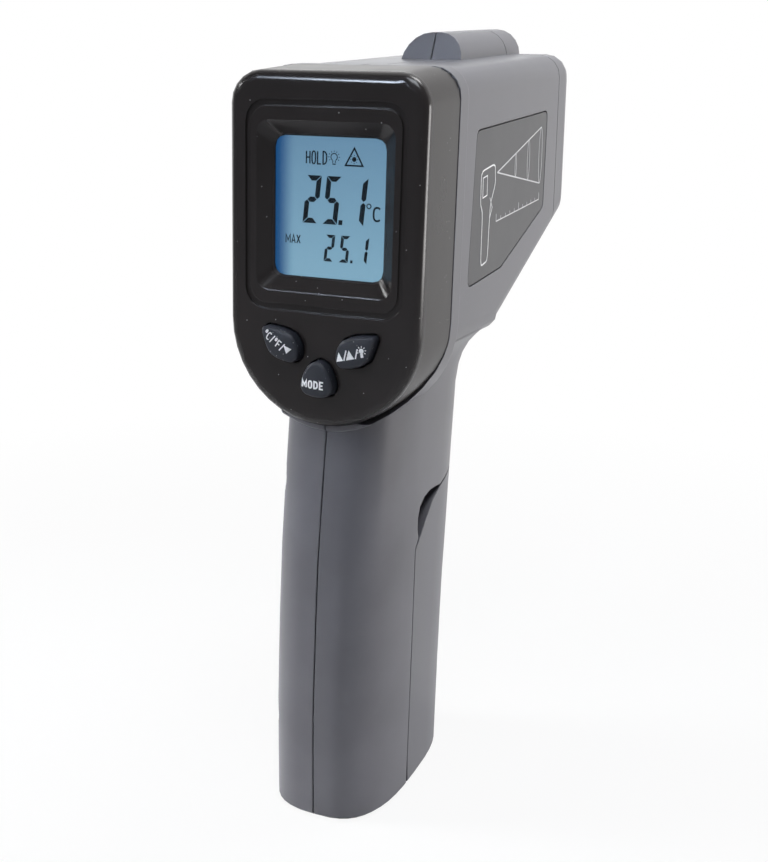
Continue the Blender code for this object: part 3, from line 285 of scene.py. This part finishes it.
def wrapped_cell(name):
    """The battery's foil wrap: dark below, copper round its upper end."""
    low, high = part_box("battery")
    copper_from = low.z + 0.72 * (high.z - low.z)
    material, tree, shader = new_material(name, (0.03, 0.03, 0.035), 0.35, metallic=0.6)
    band = maths(tree, "GREATER_THAN", coordinate(tree, "Z"), copper_from)
    tint = mixed(tree, band, (0.02, 0.02, 0.024), (0.46, 0.22, 0.10))
    scuff = noise(tree, scale=700.0, stretch=(1, 1, 6))
    tree.links.new(tint, shader.inputs["Base Color"])
    tree.links.new(spread(tree, scuff, 0.28, 0.42), shader.inputs["Roughness"])
    relief(tree, shader, scuff, depth=0.000005, strength=0.5)
    return material


def print_ink(name, colour, rough, specular=0.4):
    """Screen-printed ink, a little uneven in cover."""
    material, tree, shader = new_material(name, colour, rough, specular=specular)
    cover = noise(tree, scale=1800.0, detail=2.0)
    tint = mixed(tree, spread(tree, cover, 0, 1), shaded(colour, 0.82), colour)
    tree.links.new(tint, shader.inputs["Base Color"])
    tree.links.new(spread(tree, cover, rough - 0.05, rough + 0.1), shader.inputs["Roughness"])
    return material


GREY = moulded("housing_grey", (0.112, 0.110, 0.122), 0.34, edge=0.00035, specular=0.45)
BLACK = moulded("bezel_black", (0.0150, 0.0120, 0.0116), 0.3, edge=0.0003, specular=0.36, dust=0.03,
                polished=(FACE_Y + POLISH_DEPTH, 0.2))
DARK = moulded("inner_black", (0.015, 0.015, 0.016), 0.5)
RUBBER = moulded("key_rubber", (0.017, 0.019, 0.026), 0.5, grain=1400.0, depth=0.00004, specular=0.4,
                 dust=0.4)
WINDOW = clear_plastic("clear_window", (0.97, 0.98, 1.0), 0.02)
PANEL = lit_panel("lcd_glass")
LIGHT_GUIDE = moulded("light_guide", (0.82, 0.86, 0.90), 0.4)
LENS = moulded("lens_milk", (0.30, 0.30, 0.32), 0.18, grain=400.0, depth=0.000002, vary=0.06)
BOARD = board_mask("solder_mask")
LABEL = moulded("label_film", (0.052, 0.052, 0.055), 0.36, grain=4000.0, depth=0.000003, specular=0.3)
STEEL = metal("steel", (0.56, 0.57, 0.58), 0.32, (1, 8, 8))
BRASS = metal("brass", (0.72, 0.52, 0.22), 0.3, (8, 1, 8))
ANODISED = metal("black_anodised", (0.035, 0.035, 0.038), 0.45)
RED_PLASTIC = moulded("red_plastic", (0.50, 0.02, 0.02), 0.35)
RED_WIRE = moulded("red_insulation", (0.50, 0.02, 0.02), 0.45, grain=1200.0)
DARK_WIRE = moulded("black_insulation", (0.02, 0.02, 0.02), 0.45, grain=1200.0)
JACKET = wrapped_cell("battery_jacket")
INK = print_ink("white_ink", (0.86, 0.86, 0.86), 0.5)
GREY_INK = print_ink("grey_ink", (0.66, 0.66, 0.67), 0.5)
SEGMENT = print_ink("segment_dark", (0.010, 0.024, 0.036), 0.6, specular=0.05)

DRESS = {
    GREY: ["left_housing", "right_housing", "nose_cap", "battery_door", "trigger"],
    BLACK: ["display_bezel"],
    DARK: ["lcd_frame", "lens_ring", "battery_cradle", "buzzer", "trigger_switch", "battery_snap"],
    RUBBER: ["key_unit_down", "key_mode", "key_light_up", "keypad_mat"],
    WINDOW: ["display_window", "laser_window"],
    PANEL: ["lcd_panel"],
    LIGHT_GUIDE: ["backlight_plate"],
    LENS: ["ir_lens"],
    BOARD: ["main_board", "sensor_board", "switch_board"],
    LABEL: ["side_label_right", "side_label_left"],
    STEEL: ["thermopile_can", "trigger_pin", "trigger_spring", "door_pin"]
    + [f"housing_screw_{i}" for i in range(1, 6)] + [f"board_screw_{i}" for i in range(1, 5)],
    BRASS: ["laser_module"],
    ANODISED: ["lens_barrel"],
    RED_PLASTIC: ["switch_plunger"],
    RED_WIRE: ["battery_lead_red", "laser_lead"],
    DARK_WIRE: ["battery_lead_black", "sensor_lead"],
    JACKET: ["battery"],
}

# Angles in degrees past which an edge stays sharp, and how near to each other points are welded
NODE_SHARP = 32
PIECE_SHARP = 40
WELD_REACH = 0.000002


def smooth_shading(obj, angle):
    """Smooth shading that keeps edges sharper than an angle, without touching the mesh's points."""
    for polygon in obj.data.polygons:
        polygon.use_smooth = True
    weld = obj.modifiers.new("weld", "WELD")
    weld.merge_threshold = WELD_REACH
    split = obj.modifiers.new("split", "EDGE_SPLIT")
    split.split_angle = math.radians(angle)
    weights = obj.modifiers.new("weights", "WEIGHTED_NORMAL")
    weights.weight = 90


def dress_nodes():
    """Each node of the CAD model gets its material and smooth shading."""
    for material, names in DRESS.items():
        for name in names:
            obj = NODES[name]
            obj.data.materials.clear()
            obj.data.materials.append(material)
            smooth_shading(obj, NODE_SHARP)


dress_nodes()


# Meshes
def new_object(name, bm, material):
    """An object with one material, from a mesh under construction."""
    mesh = bpy.data.meshes.new(name)
    bm.to_mesh(mesh)
    bm.free()
    mesh.materials.append(material)
    obj = bpy.data.objects.new(name, mesh)
    looks.objects.link(obj)
    return obj


def loft(rings):
    """A closed skin through rings of points, capped at both ends."""
    bm = bmesh.new()
    loops = [[bm.verts.new(point) for point in ring] for ring in rings]
    for low, high in zip(loops, loops[1:]):
        for i, corner in enumerate(low):
            j = (i + 1) % len(low)
            bm.faces.new((corner, low[j], high[j], high[i]))
    bm.faces.new(loops[0])
    bm.faces.new(loops[-1])
    bmesh.ops.recalc_face_normals(bm, faces=bm.faces)
    return bm


# Flat print: strokes, filled shapes and words, laid on a plane
PRINT_THICK = 0.00002
PRINT_MERGE = 1e-5
NO_LENGTH = 1e-4
SHARPEST_MITRE = 0.4


def facing_user(y):
    """A plane across the display end at a depth, with its X across and its Y up."""
    return Matrix.Translation((0, y, 0)) @ Matrix.Rotation(math.pi / 2, 4, "X")


def piece(name, bm, place, material, body):
    """A thin printed piece. Its points are (X, Y) in millimetres in the plane that place describes."""
    bmesh.ops.remove_doubles(bm, verts=bm.verts, dist=PRINT_MERGE)
    bmesh.ops.scale(bm, vec=(MM, MM, MM), verts=bm.verts)
    obj = new_object(name, bm, material)
    obj.matrix_world = place
    solid = obj.modifiers.new("thickness", "SOLIDIFY")
    solid.thickness = PRINT_THICK
    solid.offset = 1.0
    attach(obj, body)


def fill(bm, points):
    """A flat shape with an outline."""
    bm.faces.new([bm.verts.new((x, y, 0)) for x, y in points])


def stroke(bm, points, width, closed=False):
    """A line of even width through points, mitred at its corners."""
    points = [Vector(p) for p in points]
    points = [p for i, p in enumerate(points) if i == 0 or (p - points[i - 1]).length > NO_LENGTH]
    count = len(points)
    left = []
    right = []
    for i, here in enumerate(points):
        previous = points[i - 1] if i > 0 or closed else None
        following = points[(i + 1) % count] if i < count - 1 or closed else None
        a = (here - previous).normalized() if previous else (following - here).normalized()
        b = (following - here).normalized() if following else a
        normal = Vector((-a.y - b.y, a.x + b.x)).normalized()
        reach = width / 2 / max(normal.dot(Vector((-a.y, a.x))), SHARPEST_MITRE)
        left.append(bm.verts.new((*(here + normal * reach), 0)))
        right.append(bm.verts.new((*(here - normal * reach), 0)))
    for i in range(count if closed else count - 1):
        j = (i + 1) % count
        bm.faces.new((right[i], right[j], left[j], left[i]))


def circle(x, y, radius, steps=20, start=0.0, turn=360.0):
    """Points on a circle, or on an arc of it where turn is less than 360 degrees."""
    points = []
    for i in range(steps):
        a = math.radians(start + turn * i / (steps if turn == 360 else steps - 1))
        points.append((x + radius * math.cos(a), y + radius * math.sin(a)))
    return points


def rays(bm, middle, near, far, width, count, pitch):
    """Short strokes round a point, from 30 degrees below its right side on."""
    for i in range(count):
        a = math.radians(-30 + pitch * i)
        way = Vector((math.cos(a), math.sin(a)))
        stroke(bm, [middle + way * near, middle + way * far], width)


# Plain letters as strokes in a box of 1 by 1
BOWL_STEPS = 16
BOWL_SQUARE = 0.75


def bowl(left, right, low, high, start, turn):
    """Part of a rounded letter between its limits."""
    points = []
    for x, y in circle(0, 0, 1, BOWL_STEPS, start, turn):
        x, y = (math.copysign(abs(c) ** BOWL_SQUARE, c) for c in (x, y))
        points.append(((left + right) / 2 + x * (right - left) / 2, (low + high) / 2 + y * (high - low) / 2))
    return points


LETTERS = {
    "A": [[(0, 0), (0.5, 1), (1, 0)], [(0.22, 0.3), (0.78, 0.3)]],
    "C": [bowl(0, 1, 0, 1, 45, 270)],
    "D": [bowl(-1, 1, 0, 1, -90, 180)],
    "E": [[(1, 0), (0, 0), (0, 1), (1, 1)], [(0, 0.5), (0.85, 0.5)]],
    "F": [[(0, 0), (0, 1), (1, 1)], [(0, 0.52), (0.85, 0.52)]],
    "H": [[(0, 0), (0, 1)], [(1, 0), (1, 1)], [(0, 0.5), (1, 0.5)]],
    "L": [[(0, 1), (0, 0), (1, 0)]],
    "M": [[(0, 0), (0, 1), (0.5, 0.3), (1, 1), (1, 0)]],
    "O": [bowl(0, 1, 0, 1, 90, 360)],
    "X": [[(0, 0), (1, 1)], [(0, 1), (1, 0)]],
    "/": [[(0.1, -0.1), (0.9, 1.1)]],
    "°": [bowl(0.1, 0.9, 0.66, 1.02, 90, 360)],
}
WIDE = {"M": 1.3, "/": 0.55, "°": 0.55}
CLOSED = "DO°"
LETTER_SPACE = 1.6


def word(bm, text, low, high, width, turn=0.0):
    """A word between two corners, in strokes of a width, turned about its middle."""
    space = LETTER_SPACE * width
    sizes = [WIDE.get(letter, 1.0) for letter in text]
    step = (high[0] - low[0] - width - space * (len(text) - 1)) / sum(sizes)
    tall = high[1] - low[1] - width
    middle = Vector(((low[0] + high[0]) / 2, (low[1] + high[1]) / 2))
    spin = Matrix.Rotation(math.radians(turn), 2)
    x = low[0] + width / 2
    for letter, size in zip(text, sizes):
        for line in LETTERS[letter]:
            points = [Vector((x + u * size * step, low[1] + width / 2 + v * tall)) for u, v in line]
            stroke(bm, [middle + spin @ (p - middle) for p in points], width, letter in CLOSED)
        x += size * step + space


# Seven-segment figures
SEGMENTS = {"2": "abged", "5": "afgcd", "1": "bc"}
FIGURE_SLANT = 0.1
SEGMENT_GAP = 0.09


def figure(bm, digit, x, y, wide, tall, bar):
    """One slanted figure whose lower left corner is at (x, y)."""
    gap = bar * SEGMENT_GAP
    middle = tall / 2
    half = bar / 2
    inner = bar + gap
    outer = wide - bar - gap
    shapes = {
        "a": [(gap, tall), (inner, tall - bar), (outer, tall - bar), (wide - gap, tall)],
        "d": [(gap, 0), (wide - gap, 0), (outer, bar), (inner, bar)],
        "g": [(half + gap, middle), (inner, middle - half), (outer, middle - half),
              (wide - half - gap, middle), (outer, middle + half), (inner, middle + half)],
        "f": [(0, tall - gap), (0, middle + half), (half, middle + gap), (bar, middle + half + gap),
              (bar, tall - inner)],
        "e": [(0, gap), (bar, inner), (bar, middle - half - gap), (half, middle - gap),
              (0, middle - half)],
    }
    shapes["b"] = [(wide - u, v) for u, v in reversed(shapes["f"])]
    shapes["c"] = [(wide - u, v) for u, v in reversed(shapes["e"])]
    for name in SEGMENTS[digit]:
        points = shapes[name]
        area = sum(p[0] * q[1] - q[0] * p[1] for p, q in zip(points, points[1:] + points[:1]))
        if area < 0:
            points = points[::-1]
        fill(bm, [(x + u + v * FIGURE_SLANT, y + v) for u, v in points])


# What the display shows, in millimetres across from its middle and up from the foot
READING_Z = 124.95
HIGHEST_Z = 117.95
LCD_PRINT_GAP = 0.00003


def lcd_readings(bm):
    """The reading in large figures and the highest one in small figures, each with its point."""
    for digit, x in (("2", -6.1), ("5", -1.95), ("1", 3.45)):
        figure(bm, digit, x, READING_Z, wide=3.05, tall=8.9, bar=0.98)
    fill(bm, [(1.4, READING_Z), (2.2, READING_Z), (2.28, 125.85), (1.48, 125.85)])
    for digit, x in (("2", -1.55), ("5", 1.6), ("1", 5.45)):
        figure(bm, digit, x, HIGHEST_Z, wide=1.9, tall=5.05, bar=0.6)
    fill(bm, [(4.0, HIGHEST_Z), (4.48, HIGHEST_Z), (4.53, 118.5), (4.05, 118.5)])


def lcd_words(bm):
    """Hold, max and the unit."""
    word(bm, "HOLD", (-5.55, 135.85), (-1.1, 138.4), 0.27)
    word(bm, "MAX", (-9.7, 120.85), (-6.45, 122.65), 0.22)
    word(bm, "C", (8.4, 125.95), (10.2, 128.75), 0.36)
    stroke(bm, circle(7.6, 128.75, 0.42, 16), 0.2, True)


def lcd_laser_sign(bm):
    """A triangle round a spot with dots about it."""
    spot = Vector((4.4, 137.1))
    stroke(bm, [(2.65, 135.95), (6.15, 135.95), (4.4, 139.1)], 0.3, True)
    fill(bm, circle(*spot, 0.45, 16))
    for x, y in circle(*spot, 0.72, 8):
        fill(bm, circle(x, y, 0.09, 8))


def lcd_light_sign(bm):
    """A bulb with its neck, its foot and its rays."""
    bulb = Vector((0.3, 137.35))
    stroke(bm, circle(*bulb, 0.66, 18, -62, 304), 0.17)
    for x in (-0.26, 0.26):
        stroke(bm, [bulb + Vector((x, -0.62)), bulb + Vector((x, -1.1))], 0.15)
    stroke(bm, [bulb + Vector((-0.34, -1.28)), bulb + Vector((0.34, -1.28))], 0.2)
    rays(bm, bulb, near=0.95, far=1.2, width=0.13, count=9, pitch=30)


def lcd_print():
    """All that the display shows, as one piece just in front of its panel."""
    bm = bmesh.new()
    lcd_readings(bm)
    lcd_words(bm)
    lcd_laser_sign(bm)
    lcd_light_sign(bm)
    piece("lcd_segments", bm, facing_user(PANEL_LOW.y - LCD_PRINT_GAP), SEGMENT, "body")


lcd_print()


# Rubber keys with soft pillow edges, in millimetres from the chin's centre and behind the bezel's face
CHIN_CENTRE = 106.1
SIDE_KEY = [(4.0, -6.5), (5.2, -7.5), (8.6, -6.9), (10.5, -5.6), (11.9, -1.5), (11.4, -0.6), (7.0, -1.2),
            (5.0, -2.1), (3.9, -4.2)]
MODE_KEY = [(0, -13.7), (2.6, -13.2), (3.5, -11.7), (3.0, -9.5), (1.8, -7.3), (0, -6.4), (-1.8, -7.3),
            (-3.0, -9.5), (-3.5, -11.7), (-2.6, -13.2)]
KEY_TOP = -2.4
KEY_CROWN = 0.22
KEY_SOFT = 0.75
KEY_FLANGE = 3.9
KEY_FLANGE_BACK = 4.9
KEY_FLANGE_RIM = 0.45
KEY_FOOT = 8.3
KEY_FOOT_RADIUS = 1.6
CROWN_SHARES = (0.2, 0.4, 0.6, 0.8)
EDGE_STEPS = 6


def rounded(points, rounds=4, cut=0.22):
    """A closed outline with its corners cut again and again, so it lies inside the first one."""
    for _ in range(rounds):
        fresh = []
        for i, p in enumerate(points):
            a = Vector(p)
            b = Vector(points[(i + 1) % len(points)])
            fresh += [a.lerp(b, cut), b.lerp(a, cut)]
        points = fresh
    return points


def key_cap(name, node, outline, body):
    """One key: a domed top, a soft edge, straight sides, a flange behind the bezel and a round foot.

    Returns its surface, for the print on it."""
    points = [Vector((x, CHIN_CENTRE + z)) for x, z in rounded(outline)]
    centre = sum(points, Vector((0, 0))) / len(points)

    def drawn_in(inset):
        """The outline moved towards its centre."""
        return [centre + (p - centre) * (1 - inset / (p - centre).length) for p in points]

    def ring(flat, y):
        """Points of the outline's plane at a depth, in metres."""
        return [(p.x * MM, FACE_Y + y * MM, p.y * MM) for p in flat]

    rings = []
    for share in CROWN_SHARES:
        flat = [centre.lerp(p, share) for p in drawn_in(KEY_SOFT)]
        rings.append(ring(flat, KEY_TOP - KEY_CROWN * (1 - share ** 2)))
    for i in range(EDGE_STEPS + 1):
        a = math.radians(90 * i / EDGE_STEPS)
        rings.append(ring(drawn_in(KEY_SOFT * (1 - math.sin(a))), KEY_TOP + KEY_SOFT * (1 - math.cos(a))))
    rings.append(ring(drawn_in(0), KEY_FLANGE))
    for y in (KEY_FLANGE, KEY_FLANGE_BACK):
        rings.append(ring(drawn_in(-KEY_FLANGE_RIM), y))
    foot = [centre + (p - centre).normalized() * KEY_FOOT_RADIUS for p in points]
    for y in (KEY_FLANGE_BACK, KEY_FOOT):
        rings.append(ring(foot, y))
    obj = new_object(name, loft(rings), RUBBER)
    smooth_shading(obj, PIECE_SHARP)
    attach(obj, body)
    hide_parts(node)
    return BVHTree.FromPolygons([v.co for v in obj.data.vertices], [p.vertices for p in obj.data.polygons])


unit_surface = key_cap("unit_key", "key_unit_down", [(-x, z) for x, z in SIDE_KEY[::-1]], "left_key")
mode_surface = key_cap("mode_key", "key_mode", MODE_KEY, "middle_key")
light_surface = key_cap("light_key", "key_light_up", SIDE_KEY, "right_key")

# Words and signs on the keys, in millimetres across from the middle and up from the foot
KEY_PRINT_EDGE = 0.3
KEY_PRINT_ROUNDS = 4
KEY_PRINT_GAP = 0.03
RAY_START = 0.01


def key_print(name, bm, surface, body):
    """Print laid on a key's domed top: each point drops straight back onto the surface."""
    bmesh.ops.triangulate(bm, faces=bm.faces)
    for _ in range(KEY_PRINT_ROUNDS):
        long_edges = [e for e in bm.edges if e.calc_length() > KEY_PRINT_EDGE]
        bmesh.ops.subdivide_edges(bm, edges=long_edges, cuts=1)
        bmesh.ops.triangulate(bm, faces=[f for f in bm.faces if len(f.verts) > 3])
    for v in bm.verts:
        start = Vector((v.co.x * MM, FACE_Y - RAY_START, v.co.y * MM))
        hit = surface.ray_cast(start, Vector((0, 1, 0)))[0]
        v.co.z = (FACE_Y - hit.y) / MM + KEY_PRINT_GAP
    piece(name, bm, facing_user(FACE_Y), INK, body)


def unit_key_print():
    """The two units and a downward arrow."""
    bm = bmesh.new()
    word(bm, "°C/°F/", (-11.3, 102.05), (-6.4, 103.75), 0.23, -34.0)
    fill(bm, [(-6.15, 100.55), (-5.05, 101.5), (-6.7, 102.15)])
    key_print("key_unit_print", bm, unit_surface, "left_key")


def mode_key_print():
    """The word on the middle key."""
    bm = bmesh.new()
    word(bm, "MODE", (-2.85, 94.3), (1.9, 95.95), 0.32, -1.5)
    key_print("key_mode_print", bm, mode_surface, "middle_key")


def light_key_print():
    """Two upward arrows and a shining bulb, with strokes between them."""
    bm = bmesh.new()
    fill(bm, [(4.4, 100.1), (5.85, 100.45), (4.8, 101.95)])
    stroke(bm, [(6.0, 100.5), (6.4, 102.5)], 0.25)
    fill(bm, [(6.45, 100.6), (8.15, 101.05), (6.95, 102.6)])
    stroke(bm, [(8.35, 101.1), (8.7, 103.0)], 0.25)
    bulb = Vector((9.5, 102.7))
    fill(bm, circle(*bulb, 0.48, 12))
    fill(bm, [(9.42, 101.4), (9.95, 101.5), (9.8, 102.3), (9.27, 102.2)])
    rays(bm, bulb, near=0.64, far=0.95, width=0.16, count=7, pitch=40)
    key_print("key_light_print", bm, light_surface, "right_key")


unit_key_print()
mode_key_print()
light_key_print()

# Trigger spring, drawn at one length; the real one gets shorter as the trigger is pulled
SPRING_RADIUS = 0.0021
SPRING_WIRE = 0.00035
SPRING_TURNS = 5
TURN_STEPS = 24
WIRE_STEPS = 10


def coil_spring():
    """A helix of round wire in the space of the CAD model's spring."""
    low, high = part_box("trigger_spring")
    centre = (low + high) / 2
    along = Vector((0, 1, 0))
    length = high.y - low.y - 2 * SPRING_WIRE
    count = SPRING_TURNS * TURN_STEPS
    angles = [2 * math.pi * j / WIRE_STEPS for j in range(WIRE_STEPS)]
    rings = []
    for i in range(count + 1):
        a = 2 * math.pi * i / TURN_STEPS
        out = Vector((math.cos(a), 0, math.sin(a)))
        middle = centre + out * SPRING_RADIUS + along * length * (i / count - 0.5)
        rings.append([middle + SPRING_WIRE * (out * math.cos(b) + along * math.sin(b)) for b in angles])
    obj = new_object("coil_spring", loft(rings), STEEL)
    smooth_shading(obj, PIECE_SHARP)
    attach(obj, "body")
    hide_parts("trigger_spring")
    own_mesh(obj)


coil_spring()

# Generic diagram on the side labels: an instrument, its widening field of view and a ruled distance
LABEL_PRINT_GAP = 0.00001
PISTOL = [(29.4, -20.4), (38.4, -19.8), (38.8, -24.0), (35.6, -28.0), (34.6, -39.4), (30.2, -39.8),
          (30.6, -28.8), (29.2, -26.8)]
PISTOL_SCREEN = [(30.6, -21.8), (33.4, -21.6), (33.4, -25.6), (30.6, -25.8)]
PISTOL_TRIGGER = [(35.4, -26.4), (37.0, -28.6), (35.5, -30.6)]
VIEW_Y = 40.0
VIEW_Z = -21.8
VIEW_REACH = 33.0
VIEW_RISE = 6.4
SPOT_SHARES = (0.4, 0.7, 1.0)
SPOT_DEPTH = 1.3
RULE_Z = -32.0
RULE_PARTS = 10


def pistol_sign():
    """The instrument's outline, with its screen and its trigger."""
    bm = bmesh.new()
    stroke(bm, rounded(PISTOL, rounds=2, cut=0.12), 0.32, True)
    stroke(bm, PISTOL_SCREEN, 0.25, True)
    stroke(bm, PISTOL_TRIGGER, 0.25)
    return bm


def field_sign():
    """The field of view with its spots, and a rule below it."""
    bm = bmesh.new()
    for way in (-1, 1):
        stroke(bm, [(VIEW_Y, VIEW_Z), (VIEW_Y + VIEW_REACH, VIEW_Z + way * VIEW_RISE)], 0.28)
    for share in SPOT_SHARES:
        spot = [(VIEW_Y + share * (VIEW_REACH + SPOT_DEPTH * u), VIEW_Z + share * VIEW_RISE * v)
                for u, v in circle(0, 0, 1, 24)]
        stroke(bm, spot, 0.25, True)
    stroke(bm, [(VIEW_Y, RULE_Z), (VIEW_Y + VIEW_REACH, RULE_Z)], 0.25)
    for i in range(RULE_PARTS + 1):
        tall = 1.6 if i % 5 == 0 else 0.8
        y = VIEW_Y + VIEW_REACH * i / RULE_PARTS
        stroke(bm, [(y, RULE_Z), (y, RULE_Z + tall)], 0.22)
    return bm


def label_print(side, name):
    """Drawn in the head's own frame, Y along the head and Z from its top, both in millimetres."""
    flip = Matrix.Identity(4) if side > 0 else Matrix.Scale(-1, 4, (1, 0, 0))
    plane = Matrix(((0, 0, 1, 0), (1, 0, 0, 0), (0, 1, 0, 0), (0, 0, 0, 1)))
    place = flip @ HEAD_FRAME @ Matrix.Translation((LABEL_X + LABEL_PRINT_GAP, 0, 0)) @ plane
    piece(name + "_outline", pistol_sign(), place, INK, "body")
    piece(name + "_field", field_sign(), place, GREY_INK, "body")


label_print(1, "label_right")
label_print(-1, "label_left")

# Floor, world, lamps and camera
FLOOR_REACH = 6.0
FLOOR_COLOUR = (0.5, 0.5, 0.51)
SHADOW_NEAR = 0.05
SHADOW_FAR = 0.30
SHADOW_WHITE = 0.90
ROOM_FRONT = -0.05
ROOM_BACK = 0.30
ROOM_DIM = 0.25
WORLD_COLOUR = (0.82, 0.90, 1.0, 1)
WORLD_STRENGTH = 0.05
WARM = (1.0, 0.98, 0.97)
COOL = (0.88, 0.93, 1.0)
BLUE = (0.72, 0.83, 1.0)
WHITE = (1.0, 1.0, 1.0)
CAMERA_PLACE = (0.09494, FACE_Y - 0.19874, 0.14631)
CAMERA_TURN = math.radians(22.278)
CAMERA_TILT = math.radians(-15.383)
CAMERA_ROLL = math.radians(-1.769)
CAMERA_LENS = 48.92
CAMERA_SENSOR = 36.0
CAMERA_NEAREST = 0.005


def seen_rays(tree, along):
    """How white a ray sees the background.

    That is 1 straight from the camera, and 1 mirrored or through glass where the backdrop is, behind the
    object, fading to the dim room in front of it."""
    path = tree.nodes.new("ShaderNodeLightPath")
    indirect = maths(tree, "MAXIMUM", path.outputs["Is Glossy Ray"], path.outputs["Is Transmission Ray"])
    fade = ramp(tree, along, ROOM_FRONT, ROOM_BACK, first=ROOM_DIM, smooth=True)
    return maths(tree, "MAXIMUM", path.outputs["Is Camera Ray"], maths(tree, "MULTIPLY", indirect, fade))


def laid_on(tree, share, under, over, output):
    """One shader laid over another by a share, and sent to the output."""
    mix = tree.nodes.new("ShaderNodeMixShader")
    tree.links.new(share, mix.inputs["Fac"])
    tree.links.new(under, mix.inputs[1])
    tree.links.new(over, mix.inputs[2])
    tree.links.new(mix.outputs["Shader"], tree.nodes[output].inputs["Surface"])


def floor_white():
    """White to the camera, a little less near the object, where it shows the shadow."""
    material, tree, shader = new_material("floor_white", FLOOR_COLOUR, 0.8)
    cloud = noise(tree, scale=3.0)
    tree.links.new(spread(tree, cloud, 0.75, 0.85), shader.inputs["Roughness"])
    far = tree.nodes.new("ShaderNodeVectorMath")
    far.operation = "LENGTH"
    tree.links.new(coordinate(tree), far.inputs[0])
    share = ramp(tree, far.outputs["Value"], SHADOW_NEAR, SHADOW_FAR, first=SHADOW_WHITE)
    share = maths(tree, "MULTIPLY", seen_rays(tree, coordinate(tree, "Y")), share)
    glow = tree.nodes.new("ShaderNodeEmission")
    laid_on(tree, share, shader.outputs["BSDF"], glow.outputs["Emission"], "Material Output")
    return material


def stage():
    """The floor under the object."""
    bm = bmesh.new()
    bmesh.ops.create_grid(bm, x_segments=8, y_segments=8, size=FLOOR_REACH)
    floor = new_object("floor", bm, floor_white())


def world_light():
    """A faint light from all sides, in front of a white background."""
    world = bpy.data.worlds.new("studio")
    scene.world = world
    world.use_nodes = True
    tree = world.node_tree
    shade = tree.nodes["Background"]
    shade.inputs["Color"].default_value = WORLD_COLOUR
    shade.inputs["Strength"].default_value = WORLD_STRENGTH
    white = tree.nodes.new("ShaderNodeBackground")
    white.inputs["Color"].default_value = (*WHITE, 1)
    share = seen_rays(tree, coordinate(tree, "Y", "Generated"))
    laid_on(tree, share, shade.outputs["Background"], white.outputs["Background"], "World Output")


def lamp(name, place, aim, size, power, colour=WHITE, cone=180.0):
    """A rectangular lamp at a place, turned to an aim. Its light stays within a cone."""
    data = bpy.data.lights.new(name, "AREA")
    data.shape = "RECTANGLE"
    data.size, data.size_y = size
    data.energy = power
    data.spread = math.radians(cone)
    data.color = colour
    obj = bpy.data.objects.new(name, data)
    obj.location = place
    obj.rotation_euler = (Vector(aim) - Vector(place)).to_track_quat("-Z", "Y").to_euler()
    looks.objects.link(obj)


def camera():
    """The camera that was fitted to the photograph."""
    data = bpy.data.cameras.new("camera")
    data.sensor_width = CAMERA_SENSOR
    data.lens = CAMERA_LENS
    data.clip_start = CAMERA_NEAREST
    obj = bpy.data.objects.new("camera", data)
    turn = Matrix.Rotation(CAMERA_TURN, 4, "Z") @ Matrix.Rotation(CAMERA_TILT, 4, "X")
    turn = turn @ Matrix.Rotation(CAMERA_ROLL, 4, "Y") @ Matrix.Rotation(math.pi / 2, 4, "X")
    obj.matrix_world = Matrix.Translation(CAMERA_PLACE) @ turn
    looks.objects.link(obj)
    scene.camera = obj


stage()
world_light()
lamp("right_light", (0.69, 0.29, 0.10), (0.0, 0.0, 0.08), (0.5, 0.28), 4.1, WARM)
lamp("side_light", (0.60, 1.04, 0.34), (0.0, 0.0, 0.10), (1.1, 0.7), 0.17, WARM)
lamp("left_light", (-0.50, -0.20, 0.25), (0.0, -0.03, -0.06), (0.2, 0.2), 0.26, cone=25.0)
lamp("hump_light", (-0.35, -0.75, 0.62), (0.0, 0.0, 0.175), (0.2, 0.2), 0.075, BLUE, cone=14.0)
lamp("top_light", (0.20, 0.25, 0.95), (0.0, 0.0, 0.1), (0.35, 0.35), 4.6)
lamp("front_light", (0.20, -0.40, 1.1), (0.0, 0.0, 0.06), (0.5, 0.5), 7.4, COOL)
lamp("back_light", (-0.50, 1.0, 0.22), (0.0, 0.0, 0.14), (0.8, 0.4), 1.15)
camera()
scene.view_settings.view_transform = "Standard"
